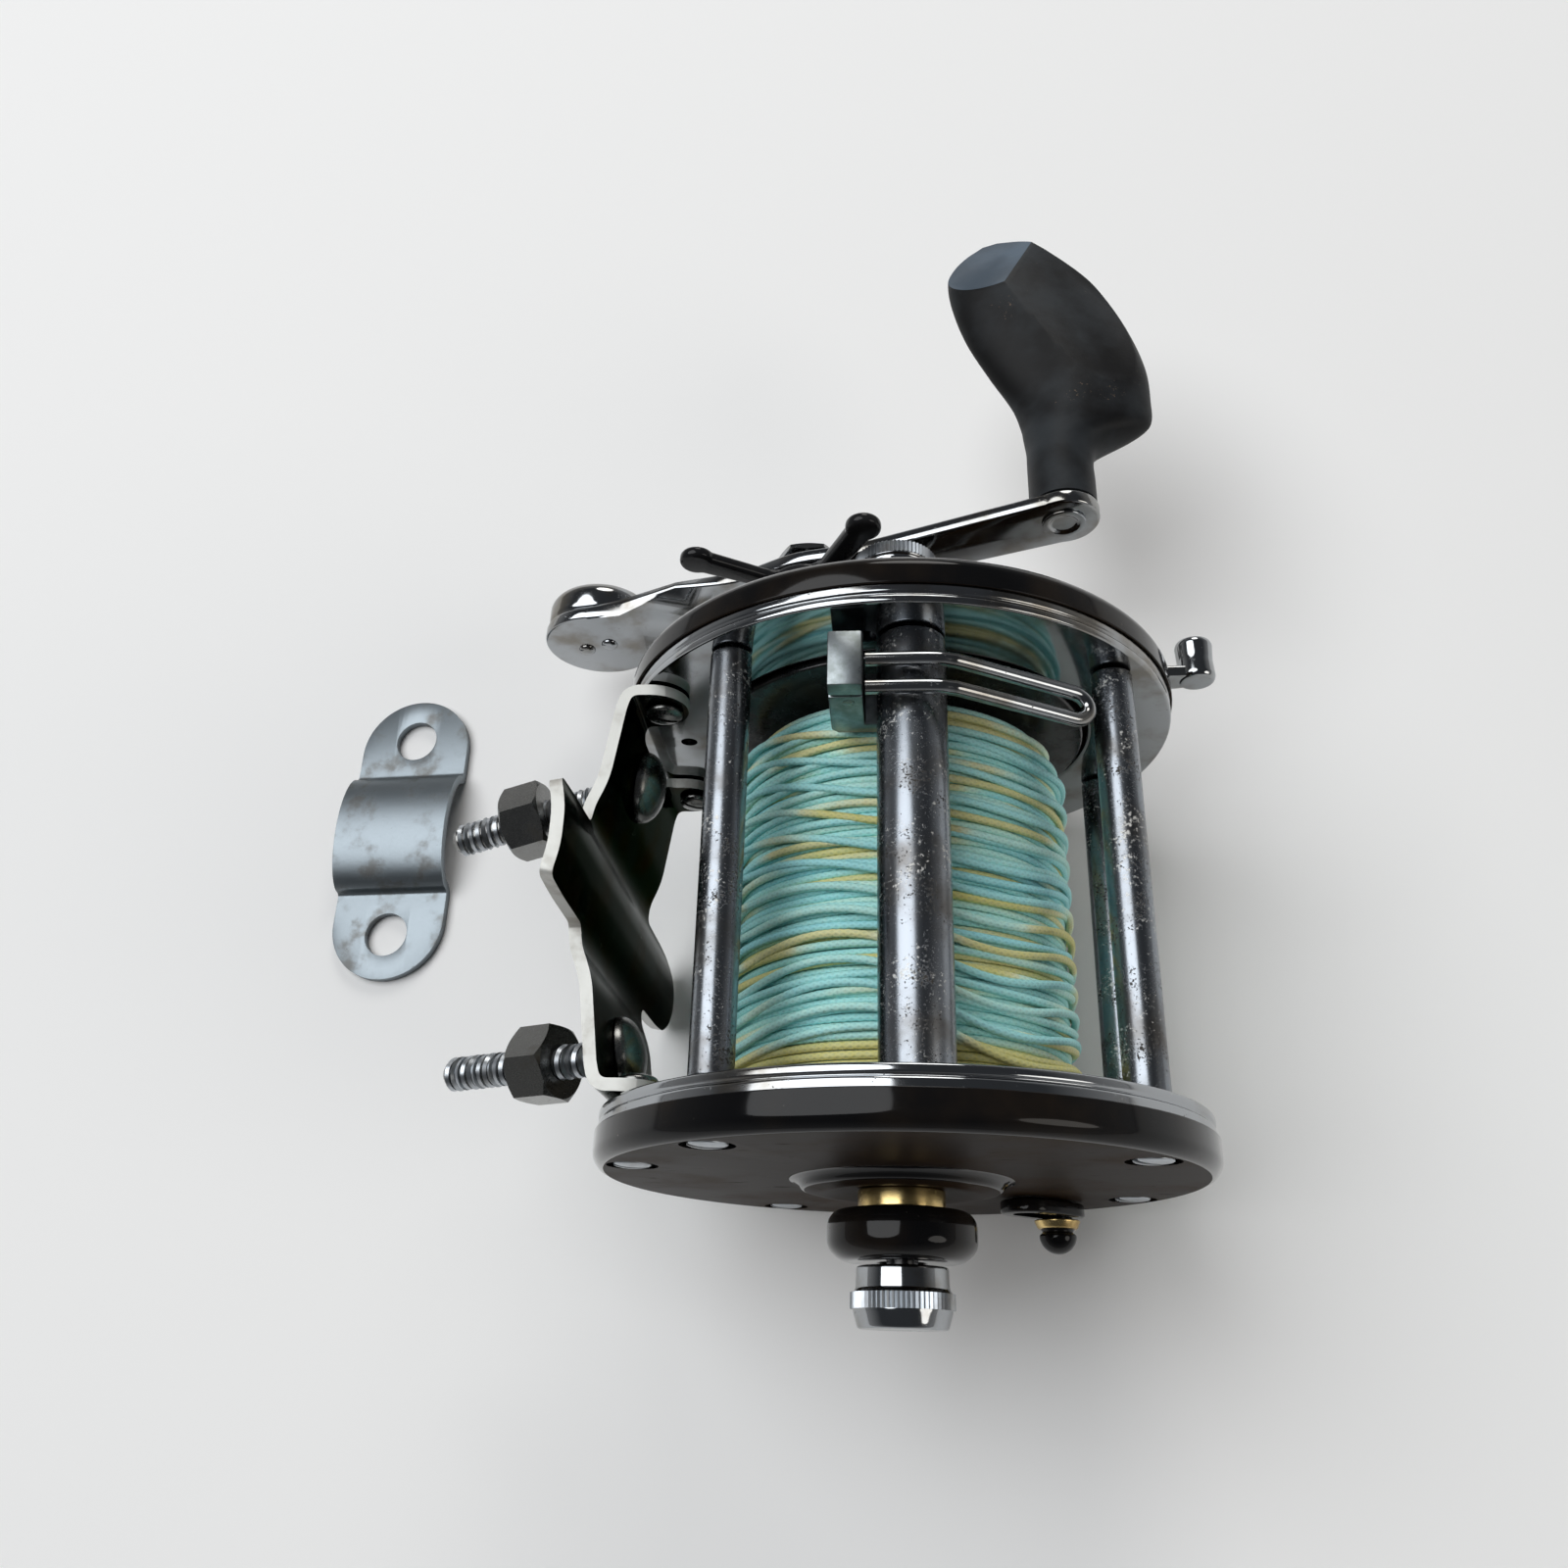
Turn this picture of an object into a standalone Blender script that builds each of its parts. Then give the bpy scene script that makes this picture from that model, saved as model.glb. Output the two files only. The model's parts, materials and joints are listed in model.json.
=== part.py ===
"""A level-wind trolling reel lying on its back, with its loose rod clamp beside it.

Reel axes: +X away from the rod, +Y along the spool towards the handle, +Z the front (line) side.
The whole reel is tilted about Y until it rests on its plate rims and on the rear end of its stand.
Sizes are in millimetres and are turned into metres when a mesh is made.
"""
import math

import bmesh
import bpy
from mathutils import Vector

MM = 0.001
GAP = 0.3
SHORT_GAP = 0.15

PLATE_RADIUS = 35.0
FRAME_SPACING = 49.7
RING_THICK = 3.3
RING_WIDTH = 10.4
BEZEL_THICK = 2.6
BEZEL_EDGE = 0.5
PLATE_SIDES = 40

POST_INSET = 4.0
POST_RADIUS = 2.4
POST_ANGLES = {"front_lower": 128.0, "front_upper": 35.5, "rear_upper": 335.0, "rear_lower": 240.0}
SCREW_HEAD_RADIUS = 2.1
SCREW_HEAD_DEPTH = 1.2
SCREW_SHANK_RADIUS = 1.2

FLANGE_CLEARANCE = 0.6
FLANGE_THICK = 1.4
FLANGE_SETBACK = 0.65
ARBOR_RADIUS = 10.0
SHAFT_RADIUS = 1.8
LINE_PACK_INSET = 5.1
LINE_RADIUS = 0.7
LOOP_COUNT = 18
LINE_SIDE_MARGIN = 2.9
POINT_COUNT = 24

WORM_OUTSET = 2.8
WORM_ANGLE = 86.4
WORM_RADIUS = 2.3
JOURNAL_RADIUS = 1.8
PIN_RADIUS = 1.2
BLIND_DEPTH = 1.2
SHIELD_RADIUS = 3.9
SHIELD_WALL = 1.1
SHIELD_HALF_SPAN = 112.0

CARRIAGE_HEIGHT = 6.7
CARRIAGE_CENTRE = 18.9
CARRIAGE_BLOCK_WIDTH = 3.8
CARRIAGE_RISE = 3.85
CARRIAGE_ARM_THICK = 2.0
PAWL_RADIUS = 1.0
GUIDE_WIRE_RADIUS = 0.9
GUIDE_PITCH = 3.4
GUIDE_DROP = 1.2

BOSS_RADIUS = 10.5
BOSS_NECK_RADIUS = 7.3
BOSS_LENGTH = 10.0
CAP_RADIUS = 5.7
CAP_LENGTH = 5.4
CLICK_INSET = 12.0
CLICK_ANGLE = 319.0
CLICK_BUSH_RADIUS = 3.4
CLICK_TRAVEL = 5.0
CLICK_BUTTON_RADIUS = 2.6
CLICK_STEM_RADIUS = 1.6
CLICK_BUSH_THICK = 1.6

HOUSING_SHIFT = 6.0
HOUSING_MARGIN = 0.6
HOUSING_WALL = 2.0
HOUSING_LENGTH = 14.0
HOUSING_TOP_RADIUS = 9.5
CAVITY_CLEARANCE = 0.8
CAVITY_DEPTH = 10.0
RIGHT_CAP_LENGTH = 8.2

CRANK_ANGLE = 213.1
SLEEVE_RADIUS = 3.0
PINION_TIP = 4.5
MAIN_GEAR_TEETH = 24
PINION_TEETH = 8
GEAR_TOOTH = 0.9
SPOOL_GEAR_TEETH = 9
IDLER_TEETH = 24
WORM_GEAR_TEETH = 15
GEAR_WIDTH = 3.4
BRIDGE_THICK = 1.5
DRAG_STACK_INSET = 2.6
DRAG_STACK_HEIGHT = 2.0
STAR_ARM_RADIUS = 20.2
STAR_ARMS = 4
STAR_PHASE = 61.0
STAR_THICK = 1.8
STAR_HUB_RADIUS = 6.5
STAR_ARM_HALF_WIDTH = 1.6
STAR_KNOB_RADIUS = 2.5
ARM_THICK = 2.6
ARM_HALF_WIDTH = 4.2
ARM_ANGLE = 20.5
KNOB_THROW = 38.5
EYE_RADIUS = 4.9
WEIGHT_THROW = 36.5
WEIGHT_RADIUS = 8.6
WEIGHT_THICK = 7.0
HANDLE_NUT_RADIUS = 5.0
HANDLE_NUT_HEIGHT = 3.2

SPINDLE_RADIUS = 2.0
FERRULE_RADIUS = 4.2
FERRULE_HEIGHT = 2.6
GRIP_NECK_RADIUS = 4.6
GRIP_LENGTH = 48.0
GRIP_THICK = 9.0
GRIP_BORE_SHARE = 0.55

LEVER_INSET = 3.5
LEVER_ANGLE = 6.0
LEVER_REACH = 7.4
LEVER_HUB_RADIUS = 2.3
LEVER_THICK = 1.6
LEVER_PEG_RADIUS = 2.4
LEVER_PEG_LENGTH = 5.1

SPOOL_GEAR_TIP = 3.3
WORM_GEAR_TIP = 5.2
LEFT_GEAR_WIDTH = 1.7

STAND_THICK = 1.4
SEAT_INSET = 0.4
BLADE_HALF_WIDTH = 6.0
BLADE_DROP = 0.9
SEAT_HALF_WIDTH = 1.6
BLADE_FRONT = 33.0
BLADE_REAR = -38.0
BLADE_ROUNDING = 2.5
BLADE_TAPER = 8.0
LEG_HALF_LENGTH = 18.0
FORK_HALF_GAP = 9.5
LEG_RISE = 3.0
TAB_HEIGHT = 6.8
TAB_SCREW_Z = 13.6
TAB_SCREW_HEAD = 2.7

STUD_HALF_SPACING = 17.5
STUD_Z = 3.0
STUD_RADIUS = 2.1
STUD_LENGTH = 26.5
STUD_LEAN = {"left": (22.6, 0.9), "right": (9.4, 12.7)}
STUD_HEAD_RADIUS = 4.0
STUD_HEAD_HEIGHT = 2.6
STUD_HOLE_CLEAR = 1.2
NUT_FLATS = 8.7
NUT_THICK = 5.4
NUT_PLACE = {"left": 8.9, "right": 13.2}

CLAMP_X = -86.0
CLAMP_Y = 29.0
CLAMP_WIDTH = 19.0
CLAMP_LENGTH = 50.0
CLAMP_THICK = 1.4
CLAMP_ARCH_HALF = 10.2
CLAMP_ARCH_RISE = 4.6
CLAMP_HOLE_RADIUS = 2.9

RING_BORE = PLATE_RADIUS - RING_WIDTH
FLANGE_RADIUS = RING_BORE - FLANGE_CLEARANCE
LINE_PACK_RADIUS = FLANGE_RADIUS - LINE_PACK_INSET
POST_CIRCLE = PLATE_RADIUS - POST_INSET
WORM_CIRCLE = FLANGE_RADIUS + WORM_OUTSET
CLICK_CIRCLE = PLATE_RADIUS - CLICK_INSET
STAND_SEAT = SEAT_INSET - PLATE_RADIUS
RING_FACE = FRAME_SPACING / 2
RING_BACK = RING_FACE + RING_THICK
BEZEL_FACE = RING_BACK + GAP
BEZEL_BACK = BEZEL_FACE + BEZEL_THICK
FLANGE_FACE = RING_FACE - FLANGE_SETBACK
FLANGE_BACK = FLANGE_FACE + FLANGE_THICK
BOSS_END = BEZEL_BACK + BOSS_LENGTH
HOUSING_END = BEZEL_BACK + HOUSING_LENGTH
CAVITY_END = BEZEL_FACE + CAVITY_DEPTH


def polar(radius, degrees):
    """Return the (X, Z) point at a radius and an angle round the spool axis."""
    angle = math.radians(degrees)
    return radius * math.cos(angle), radius * math.sin(angle)


WORM_X, WORM_Z = polar(WORM_CIRCLE, WORM_ANGLE)
CARRIAGE_FRONT = WORM_Z + CARRIAGE_RISE
HOUSING_X, HOUSING_Z = polar(HOUSING_SHIFT, CRANK_ANGLE)
NEAREST_POST = min(math.dist(polar(POST_CIRCLE, a), (HOUSING_X, HOUSING_Z)) for a in POST_ANGLES.values())
HOUSING_RADIUS = NEAREST_POST - SCREW_HEAD_RADIUS - GAP - HOUSING_MARGIN
CAVITY_RADIUS = HOUSING_RADIUS - HOUSING_WALL
MAIN_GEAR_TIP = (CAVITY_RADIUS - CAVITY_CLEARANCE + HOUSING_SHIFT - PINION_TIP - GAP) / 2
CRANK_X, CRANK_Z = polar(MAIN_GEAR_TIP + GAP + PINION_TIP, CRANK_ANGLE)
DRAG_STACK_RADIUS = MAIN_GEAR_TIP - DRAG_STACK_INSET
KNOB_X = CRANK_X + KNOB_THROW * math.cos(math.radians(ARM_ANGLE))
KNOB_Z = CRANK_Z + KNOB_THROW * math.sin(math.radians(ARM_ANGLE))
LEVER_X, LEVER_Z = polar(PLATE_RADIUS - LEVER_INSET, LEVER_ANGLE)
IDLER_TIP = (WORM_CIRCLE - SPOOL_GEAR_TIP - WORM_GEAR_TIP - 2 * GAP) / 2
IDLER_CIRCLE = SPOOL_GEAR_TIP + GAP + IDLER_TIP
STAR_BACK = HOUSING_END + GAP + RIGHT_CAP_LENGTH + GAP
ARM_BACK = STAR_BACK + STAR_THICK + GAP
ARM_FACE = ARM_BACK + ARM_THICK
GEAR_BACK = BEZEL_FACE + GAP + BRIDGE_THICK + GAP


def rest_tilt():
    """Return the angle about Y at which plate rims and the stand's rear end share one floor."""
    foot_x = STAND_SEAT - STAND_THICK
    reach = math.hypot(foot_x, BLADE_REAR)
    bearing = math.atan2(BLADE_REAR, foot_x) % (2 * math.pi)
    return bearing + math.acos(PLATE_RADIUS / reach) - 1.5 * math.pi


for old in list(bpy.data.objects):
    bpy.data.objects.remove(old, do_unlink=True)

GROUND = bpy.data.objects.new("ground", None)
bpy.context.collection.objects.link(GROUND)
REEL = bpy.data.objects.new("reel_frame", None)
bpy.context.collection.objects.link(REEL)
REEL.parent = GROUND
REEL.location = (0.0, 0.0, PLATE_RADIUS * MM)
REEL.rotation_euler = (0.0, rest_tilt(), 0.0)


def finish(name, colour, roughness, metallic):
    """Make a Principled material."""
    material = bpy.data.materials.new(name)
    material.use_nodes = True
    shader = material.node_tree.nodes["Principled BSDF"]
    shader.inputs["Base Color"].default_value = (*colour, 1.0)
    shader.inputs["Roughness"].default_value = roughness
    shader.inputs["Metallic"].default_value = metallic
    return material


CHROME = finish("aged_chrome", (0.62, 0.62, 0.60), 0.18, 1.0)
BLACK = finish("black_moulding", (0.012, 0.012, 0.013), 0.15, 0.0)
GRIP_BLACK = finish("grip_black", (0.02, 0.02, 0.022), 0.55, 0.0)
ZINC = finish("zinc_plate", (0.60, 0.61, 0.63), 0.32, 1.0)
STEEL = finish("grey_steel", (0.32, 0.32, 0.33), 0.38, 1.0)
BRASS = finish("brass", (0.72, 0.52, 0.22), 0.28, 1.0)
SPOOL_GREY = finish("spool_grey", (0.06, 0.06, 0.065), 0.35, 0.6)
LINE_TEAL = finish("line_teal", (0.14, 0.48, 0.50), 0.7, 0.0)
LINE_OLIVE = finish("line_olive", (0.36, 0.36, 0.12), 0.7, 0.0)
FIBRE = finish("fibre_washer", (0.20, 0.11, 0.06), 0.8, 0.0)


def adopt(name, mesh, material, centre=(0.0, 0.0, 0.0), parent=REEL):
    """Link a mesh as a named object with its origin at a point in the reel's axes."""
    mesh.materials.append(material)
    thing = bpy.data.objects.new(name, mesh)
    bpy.context.collection.objects.link(thing)
    thing.location = Vector(centre) * MM
    thing.parent = parent
    return thing


def mesh_from(name, work):
    """Close a bmesh into a mesh in metres, faces out and shaded smooth up to 35 degrees."""
    bmesh.ops.recalc_face_normals(work, faces=work.faces[:])
    bmesh.ops.scale(work, vec=(MM, MM, MM), verts=work.verts[:])
    mesh = bpy.data.meshes.new(name)
    work.to_mesh(mesh)
    work.free()
    mesh.shade_smooth()
    mesh.set_sharp_from_angle(angle=math.radians(35.0))
    return mesh


def turned_mesh(name, profile, sides):
    """Spin a closed (radius, y) outline round the Y axis."""
    work = bmesh.new()
    rings = []
    for radius, y in profile:
        if radius < 1e-6:
            rings.append([work.verts.new((0.0, y, 0.0))])
            continue
        angles = [2 * math.pi * step / sides for step in range(sides)]
        rings.append([work.verts.new((radius * math.cos(a), y, radius * math.sin(a))) for a in angles])
    for low, high in zip(rings, rings[1:] + rings[:1]):
        for step in range(sides):
            after = (step + 1) % sides
            corners = [low[step % len(low)], low[after % len(low)]]
            corners += [high[after % len(high)], high[step % len(high)]]
            unique = list(dict.fromkeys(corners))
            if len(unique) > 2:
                work.faces.new(unique)
    return mesh_from(name, work)


def turned(name, profile, material, centre=(0.0, 0.0, 0.0), sides=32, parent=REEL):
    """Make a turned piece about an axis along Y."""
    return adopt(name, turned_mesh(name, profile, sides), material, centre, parent)


def prism_mesh(name, outline, low, high, axis="Y"):
    """Extrude a closed outline along Y (outline in X, Z) or along Z (outline in X, Y)."""
    work = bmesh.new()
    if axis == "Y":
        places = [(a, low, b) for a, b in outline]
        step = Vector((0.0, high - low, 0.0))
    elif axis == "Z":
        places = [(a, b, low) for a, b in outline]
        step = Vector((0.0, 0.0, high - low))
    else:
        places = [(low, a, b) for a, b in outline]
        step = Vector((high - low, 0.0, 0.0))
    base = work.faces.new([work.verts.new(place) for place in places])
    grown = bmesh.ops.extrude_face_region(work, geom=[base])
    moved = [item for item in grown["geom"] if isinstance(item, bmesh.types.BMVert)]
    bmesh.ops.translate(work, vec=step, verts=moved)
    return mesh_from(name, work)


def prism(name, outline, low, high, material, centre=(0.0, 0.0, 0.0), axis="Y", parent=REEL):
    """Make an extruded piece."""
    return adopt(name, prism_mesh(name, outline, low, high, axis), material, centre, parent)


def disc(radius, sides=24, centre=(0.0, 0.0)):
    """Return a circle's outline."""
    return [
        (centre[0] + radius * math.cos(2 * math.pi * k / sides),
         centre[1] + radius * math.sin(2 * math.pi * k / sides))
        for k in range(sides)
    ]


def rotated(points, degrees):
    """Return an outline turned about its own origin."""
    c, s = math.cos(math.radians(degrees)), math.sin(math.radians(degrees))
    return [(x * c - z * s, x * s + z * c) for x, z in points]


def as_tool(thing):
    """Mark an object as a hidden cutter or guide."""
    thing.hide_render = True
    thing.display_type = "WIRE"
    return thing


def cut(thing, tool, operation="DIFFERENCE"):
    """Add an exact Boolean."""
    boolean = thing.modifiers.new(tool.name, "BOOLEAN")
    boolean.operation = operation
    boolean.solver = "EXACT"
    boolean.object = tool
    return thing


def bore_tool(name, radius, low, high, centre, sides=20, parent=REEL):
    """Make a round cutter along Y."""
    return as_tool(prism(name, disc(radius, sides), low, high, STEEL, centre, "Y", parent))


def gear_outline(tip, teeth):
    """Return a gear's outline with straight-sided teeth."""
    root = tip - GEAR_TOOTH
    points = []
    for tooth in range(teeth):
        for share, radius in ((0.0, root), (0.3, root), (0.45, tip), (0.85, tip)):
            points.append(polar(radius, 360.0 * (tooth + share) / teeth))
    return points


def gear(name, tip, teeth, low, high, bore, material, centre):
    """Make a bored spur gear about an axis along Y."""
    wheel = prism(name, gear_outline(tip, teeth), low, high, material, centre)
    cut(wheel, bore_tool(name + "_bore", bore, low - 1, high + 1, centre))
    return wheel


def annulus(outer, inner, low, high, edge=0.0):
    """Return the outline of a plain ring, its outer edges eased if an edge width is given."""
    if edge == 0.0:
        return [(inner, low), (outer, low), (outer, high), (inner, high)]
    return [
        (inner, low), (outer - edge, low), (outer, low + edge),
        (outer, high - edge), (outer - edge, high), (inner, high),
    ]


def side_sign(side):
    """Return +1 for the handle side and -1 for the other one."""
    return 1.0 if side == "right" else -1.0


def make_rings():
    """Make the two chrome frame rings, drilled for the post screws, and the right one for the worm."""
    for side in ("left", "right"):
        sign = side_sign(side)
        profile = annulus(PLATE_RADIUS, RING_BORE, RING_FACE, RING_BACK, BEZEL_EDGE)
        ring = turned(f"ring_{side}", [(r, sign * y) for r, y in profile], CHROME, sides=PLATE_SIDES)
        for place, degrees in POST_ANGLES.items():
            x, z = polar(POST_CIRCLE, degrees)
            low, high = sorted((sign * (RING_FACE - 1), sign * (RING_BACK + 1)))
            tool = bore_tool(f"drill_{side}_{place}", SCREW_SHANK_RADIUS + GAP, low, high, (x, 0, z), 8)
            cut(ring, tool)
        if side == "left":
            low, high = -RING_BACK - 1, -RING_FACE + 1
            cut(ring, bore_tool("worm_gear_room", WORM_GEAR_TIP + GAP, low, high, (WORM_X, 0, WORM_Z), 28))
        else:
            low, high = RING_FACE - 1, RING_FACE + RING_THICK / 2
            cut(ring, bore_tool("worm_socket", JOURNAL_RADIUS + GAP, low, high, (WORM_X, 0, WORM_Z), 20))


def make_posts():
    """Make the posts and the screws that hold each of them through ring and plate."""
    end = RING_FACE - GAP
    for place, degrees in POST_ANGLES.items():
        x, z = polar(POST_CIRCLE, degrees)
        outline = [(0, -end), (POST_RADIUS, -end), (POST_RADIUS, end), (0, end)]
        turned(f"post_{place}", outline, CHROME, (x, 0, z), 18)
        for side in ("left", "right"):
            sign = side_sign(side)
            seat = BEZEL_BACK - SCREW_HEAD_DEPTH
            tip = RING_FACE + GAP
            top = BEZEL_BACK - SHORT_GAP
            profile = [
                (0, tip), (SCREW_SHANK_RADIUS, tip), (SCREW_SHANK_RADIUS, seat),
                (SCREW_HEAD_RADIUS, seat), (SCREW_HEAD_RADIUS, top - 0.3),
                (SCREW_HEAD_RADIUS - 0.4, top), (0, top),
            ]
            profile = [(r, sign * y) for r, y in profile]
            turned(f"post_screw_{side}_{place}", profile, STEEL, (x, 0, z), 8)


def drill_plate(plate, side):
    """Counterbore a side plate for the post screws."""
    sign = side_sign(side)
    for place, degrees in POST_ANGLES.items():
        x, z = polar(POST_CIRCLE, degrees)
        for label, radius, start in (
            ("hole", SCREW_SHANK_RADIUS + GAP, BEZEL_FACE - 1),
            ("counterbore", SCREW_HEAD_RADIUS + GAP, BEZEL_BACK - SCREW_HEAD_DEPTH - GAP),
        ):
            low, high = sorted((sign * start, sign * (BEZEL_BACK + 2)))
            cut(plate, bore_tool(f"{label}_{side}_{place}", radius, low, high, (x, 0, z), 8))


def make_left_plate():
    """Make the black left plate with its stepped boss, its click slot and its spindle bore."""
    face, back, end = BEZEL_FACE, BEZEL_BACK, BOSS_END
    bore = SHAFT_RADIUS + GAP
    neck = BOSS_NECK_RADIUS
    profile = [
        (bore, face), (PLATE_RADIUS - BEZEL_EDGE, face), (PLATE_RADIUS, face + BEZEL_EDGE),
        (PLATE_RADIUS, back - 1.0), (PLATE_RADIUS - 1.0, back), (BOSS_RADIUS + 2.8, back),
        (BOSS_RADIUS + 0.6, back + 0.8), (BOSS_RADIUS - 0.2, back + 2.2),
        (neck + 0.6, back + 3.6), (neck - 0.4, back + 4.4), (neck - 0.4, back + 6.2),
        (neck + 0.2, end - 2.4), (neck - 1.0, end), (bore, end),
    ]
    plate = turned("plate_left", [(r, -y) for r, y in profile], BLACK, sides=PLATE_SIDES)
    drill_plate(plate, "left")
    x, z = polar(CLICK_CIRCLE, CLICK_ANGLE)
    slot = stadium(CLICK_TRAVEL / 2, CLICK_STEM_RADIUS + GAP, CLICK_ANGLE)
    tool = prism("click_slot", slot, -back - 1, -face + 1, STEEL, (x, 0, z))
    cut(plate, as_tool(tool))
    floor = -face - BLIND_DEPTH
    cut(plate, bore_tool("worm_end_room", JOURNAL_RADIUS + GAP, floor, -face + 1, (WORM_X, 0, WORM_Z), 20))
    ix, iz = polar(IDLER_CIRCLE, WORM_ANGLE)
    cut(plate, bore_tool("idler_pin_room", PIN_RADIUS + GAP, floor, -face + 1, (ix, 0, iz), 16))


def stadium(half, radius, degrees, steps=8):
    """Return a round-ended slot's outline, its long way at an angle."""
    points = []
    for end, start in ((1.0, -90.0), (-1.0, 90.0)):
        for step in range(steps + 1):
            angle = math.radians(start + 180.0 * step / steps)
            points.append((end * half + radius * math.cos(angle), radius * math.sin(angle)))
    return rotated(points, degrees)


def make_right_plate():
    """Make the black right plate with its stepped gear housing, which is centred over the gear train."""
    face, back, end = BEZEL_FACE, BEZEL_BACK, HOUSING_END
    bore = SHAFT_RADIUS + GAP
    profile = [
        (bore, face), (PLATE_RADIUS - BEZEL_EDGE, face), (PLATE_RADIUS, face + BEZEL_EDGE),
        (PLATE_RADIUS, back - 1.0), (PLATE_RADIUS - 1.0, back), (bore, back),
    ]
    plate = turned("plate_right", profile, BLACK, sides=PLATE_SIDES)
    centre = (HOUSING_X, 0, HOUSING_Z)
    slope = (end - CAVITY_END) / 2
    shell = [
        (0, face + 0.4), (HOUSING_RADIUS - 0.8, face + 0.4), (HOUSING_RADIUS, back + 1.0),
        (HOUSING_RADIUS - 0.6, CAVITY_END), (HOUSING_RADIUS - 3.0, CAVITY_END + slope),
        (HOUSING_TOP_RADIUS + 3.0, end), (0, end),
    ]
    cut(plate, as_tool(turned("housing_shape", shell, BLACK, centre, 36)), "UNION")
    cut(plate, bore_tool("gear_cavity", CAVITY_RADIUS, face - 1, CAVITY_END, centre, 36))
    cut(plate, bore_tool("shaft_hole", bore, face - 1, end + 2, (0, 0, 0), 16))
    drill_plate(plate, "right")
    low, high = CAVITY_END - 1, HOUSING_END + 2
    cut(plate, bore_tool("sleeve_hole", SLEEVE_RADIUS + GAP, low, high, (CRANK_X, 0, CRANK_Z), 20))
    low, high = BEZEL_BACK - BLIND_DEPTH - GAP, BEZEL_BACK + 1
    cut(plate, bore_tool("lever_hole", PIN_RADIUS + GAP, low, high, (LEVER_X, 0, LEVER_Z), 12))


def make_worm():
    """Make the level-wind worm, its shield, its gear and the idler in the left plate."""
    journal = JOURNAL_RADIUS
    inner = RING_FACE - GAP
    left_end = -BEZEL_FACE - BLIND_DEPTH + GAP
    right_end = RING_FACE + RING_THICK / 2 - GAP
    profile = [
        (0, left_end), (journal, left_end), (journal, -inner), (WORM_RADIUS, -inner),
        (WORM_RADIUS, inner), (journal, inner), (journal, right_end), (0, right_end),
    ]
    turned("worm_shaft", profile, STEEL, (WORM_X, 0, WORM_Z), 16)
    low = -FLANGE_BACK - GAP - LEFT_GEAR_WIDTH
    high = -FLANGE_BACK - GAP
    bore = journal + GAP
    gear("worm_gear", WORM_GEAR_TIP, WORM_GEAR_TEETH, low, high, bore, BRASS, (WORM_X, 0, WORM_Z))
    ix, iz = polar(IDLER_CIRCLE, WORM_ANGLE)
    gear("idler_gear", IDLER_TIP, IDLER_TEETH, low, high, PIN_RADIUS + GAP, BRASS, (ix, 0, iz))
    pin = [(0, left_end), (PIN_RADIUS, left_end), (PIN_RADIUS, high), (0, high)]
    turned("idler_pin", pin, STEEL, (ix, 0, iz), 16)
    gear("spool_gear", SPOOL_GEAR_TIP, SPOOL_GEAR_TEETH, low, high, SHAFT_RADIUS + GAP, BRASS, (0, 0, 0))
    outer, hollow = SHIELD_RADIUS, SHIELD_RADIUS - SHIELD_WALL
    angles = [WORM_ANGLE - SHIELD_HALF_SPAN + 2 * SHIELD_HALF_SPAN * k / 18 for k in range(19)]
    outline = [polar(outer, a) for a in angles] + [polar(hollow, a) for a in reversed(angles)]
    prism("worm_shield", outline, -inner, inner, CHROME, (WORM_X, 0, WORM_Z))


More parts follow.
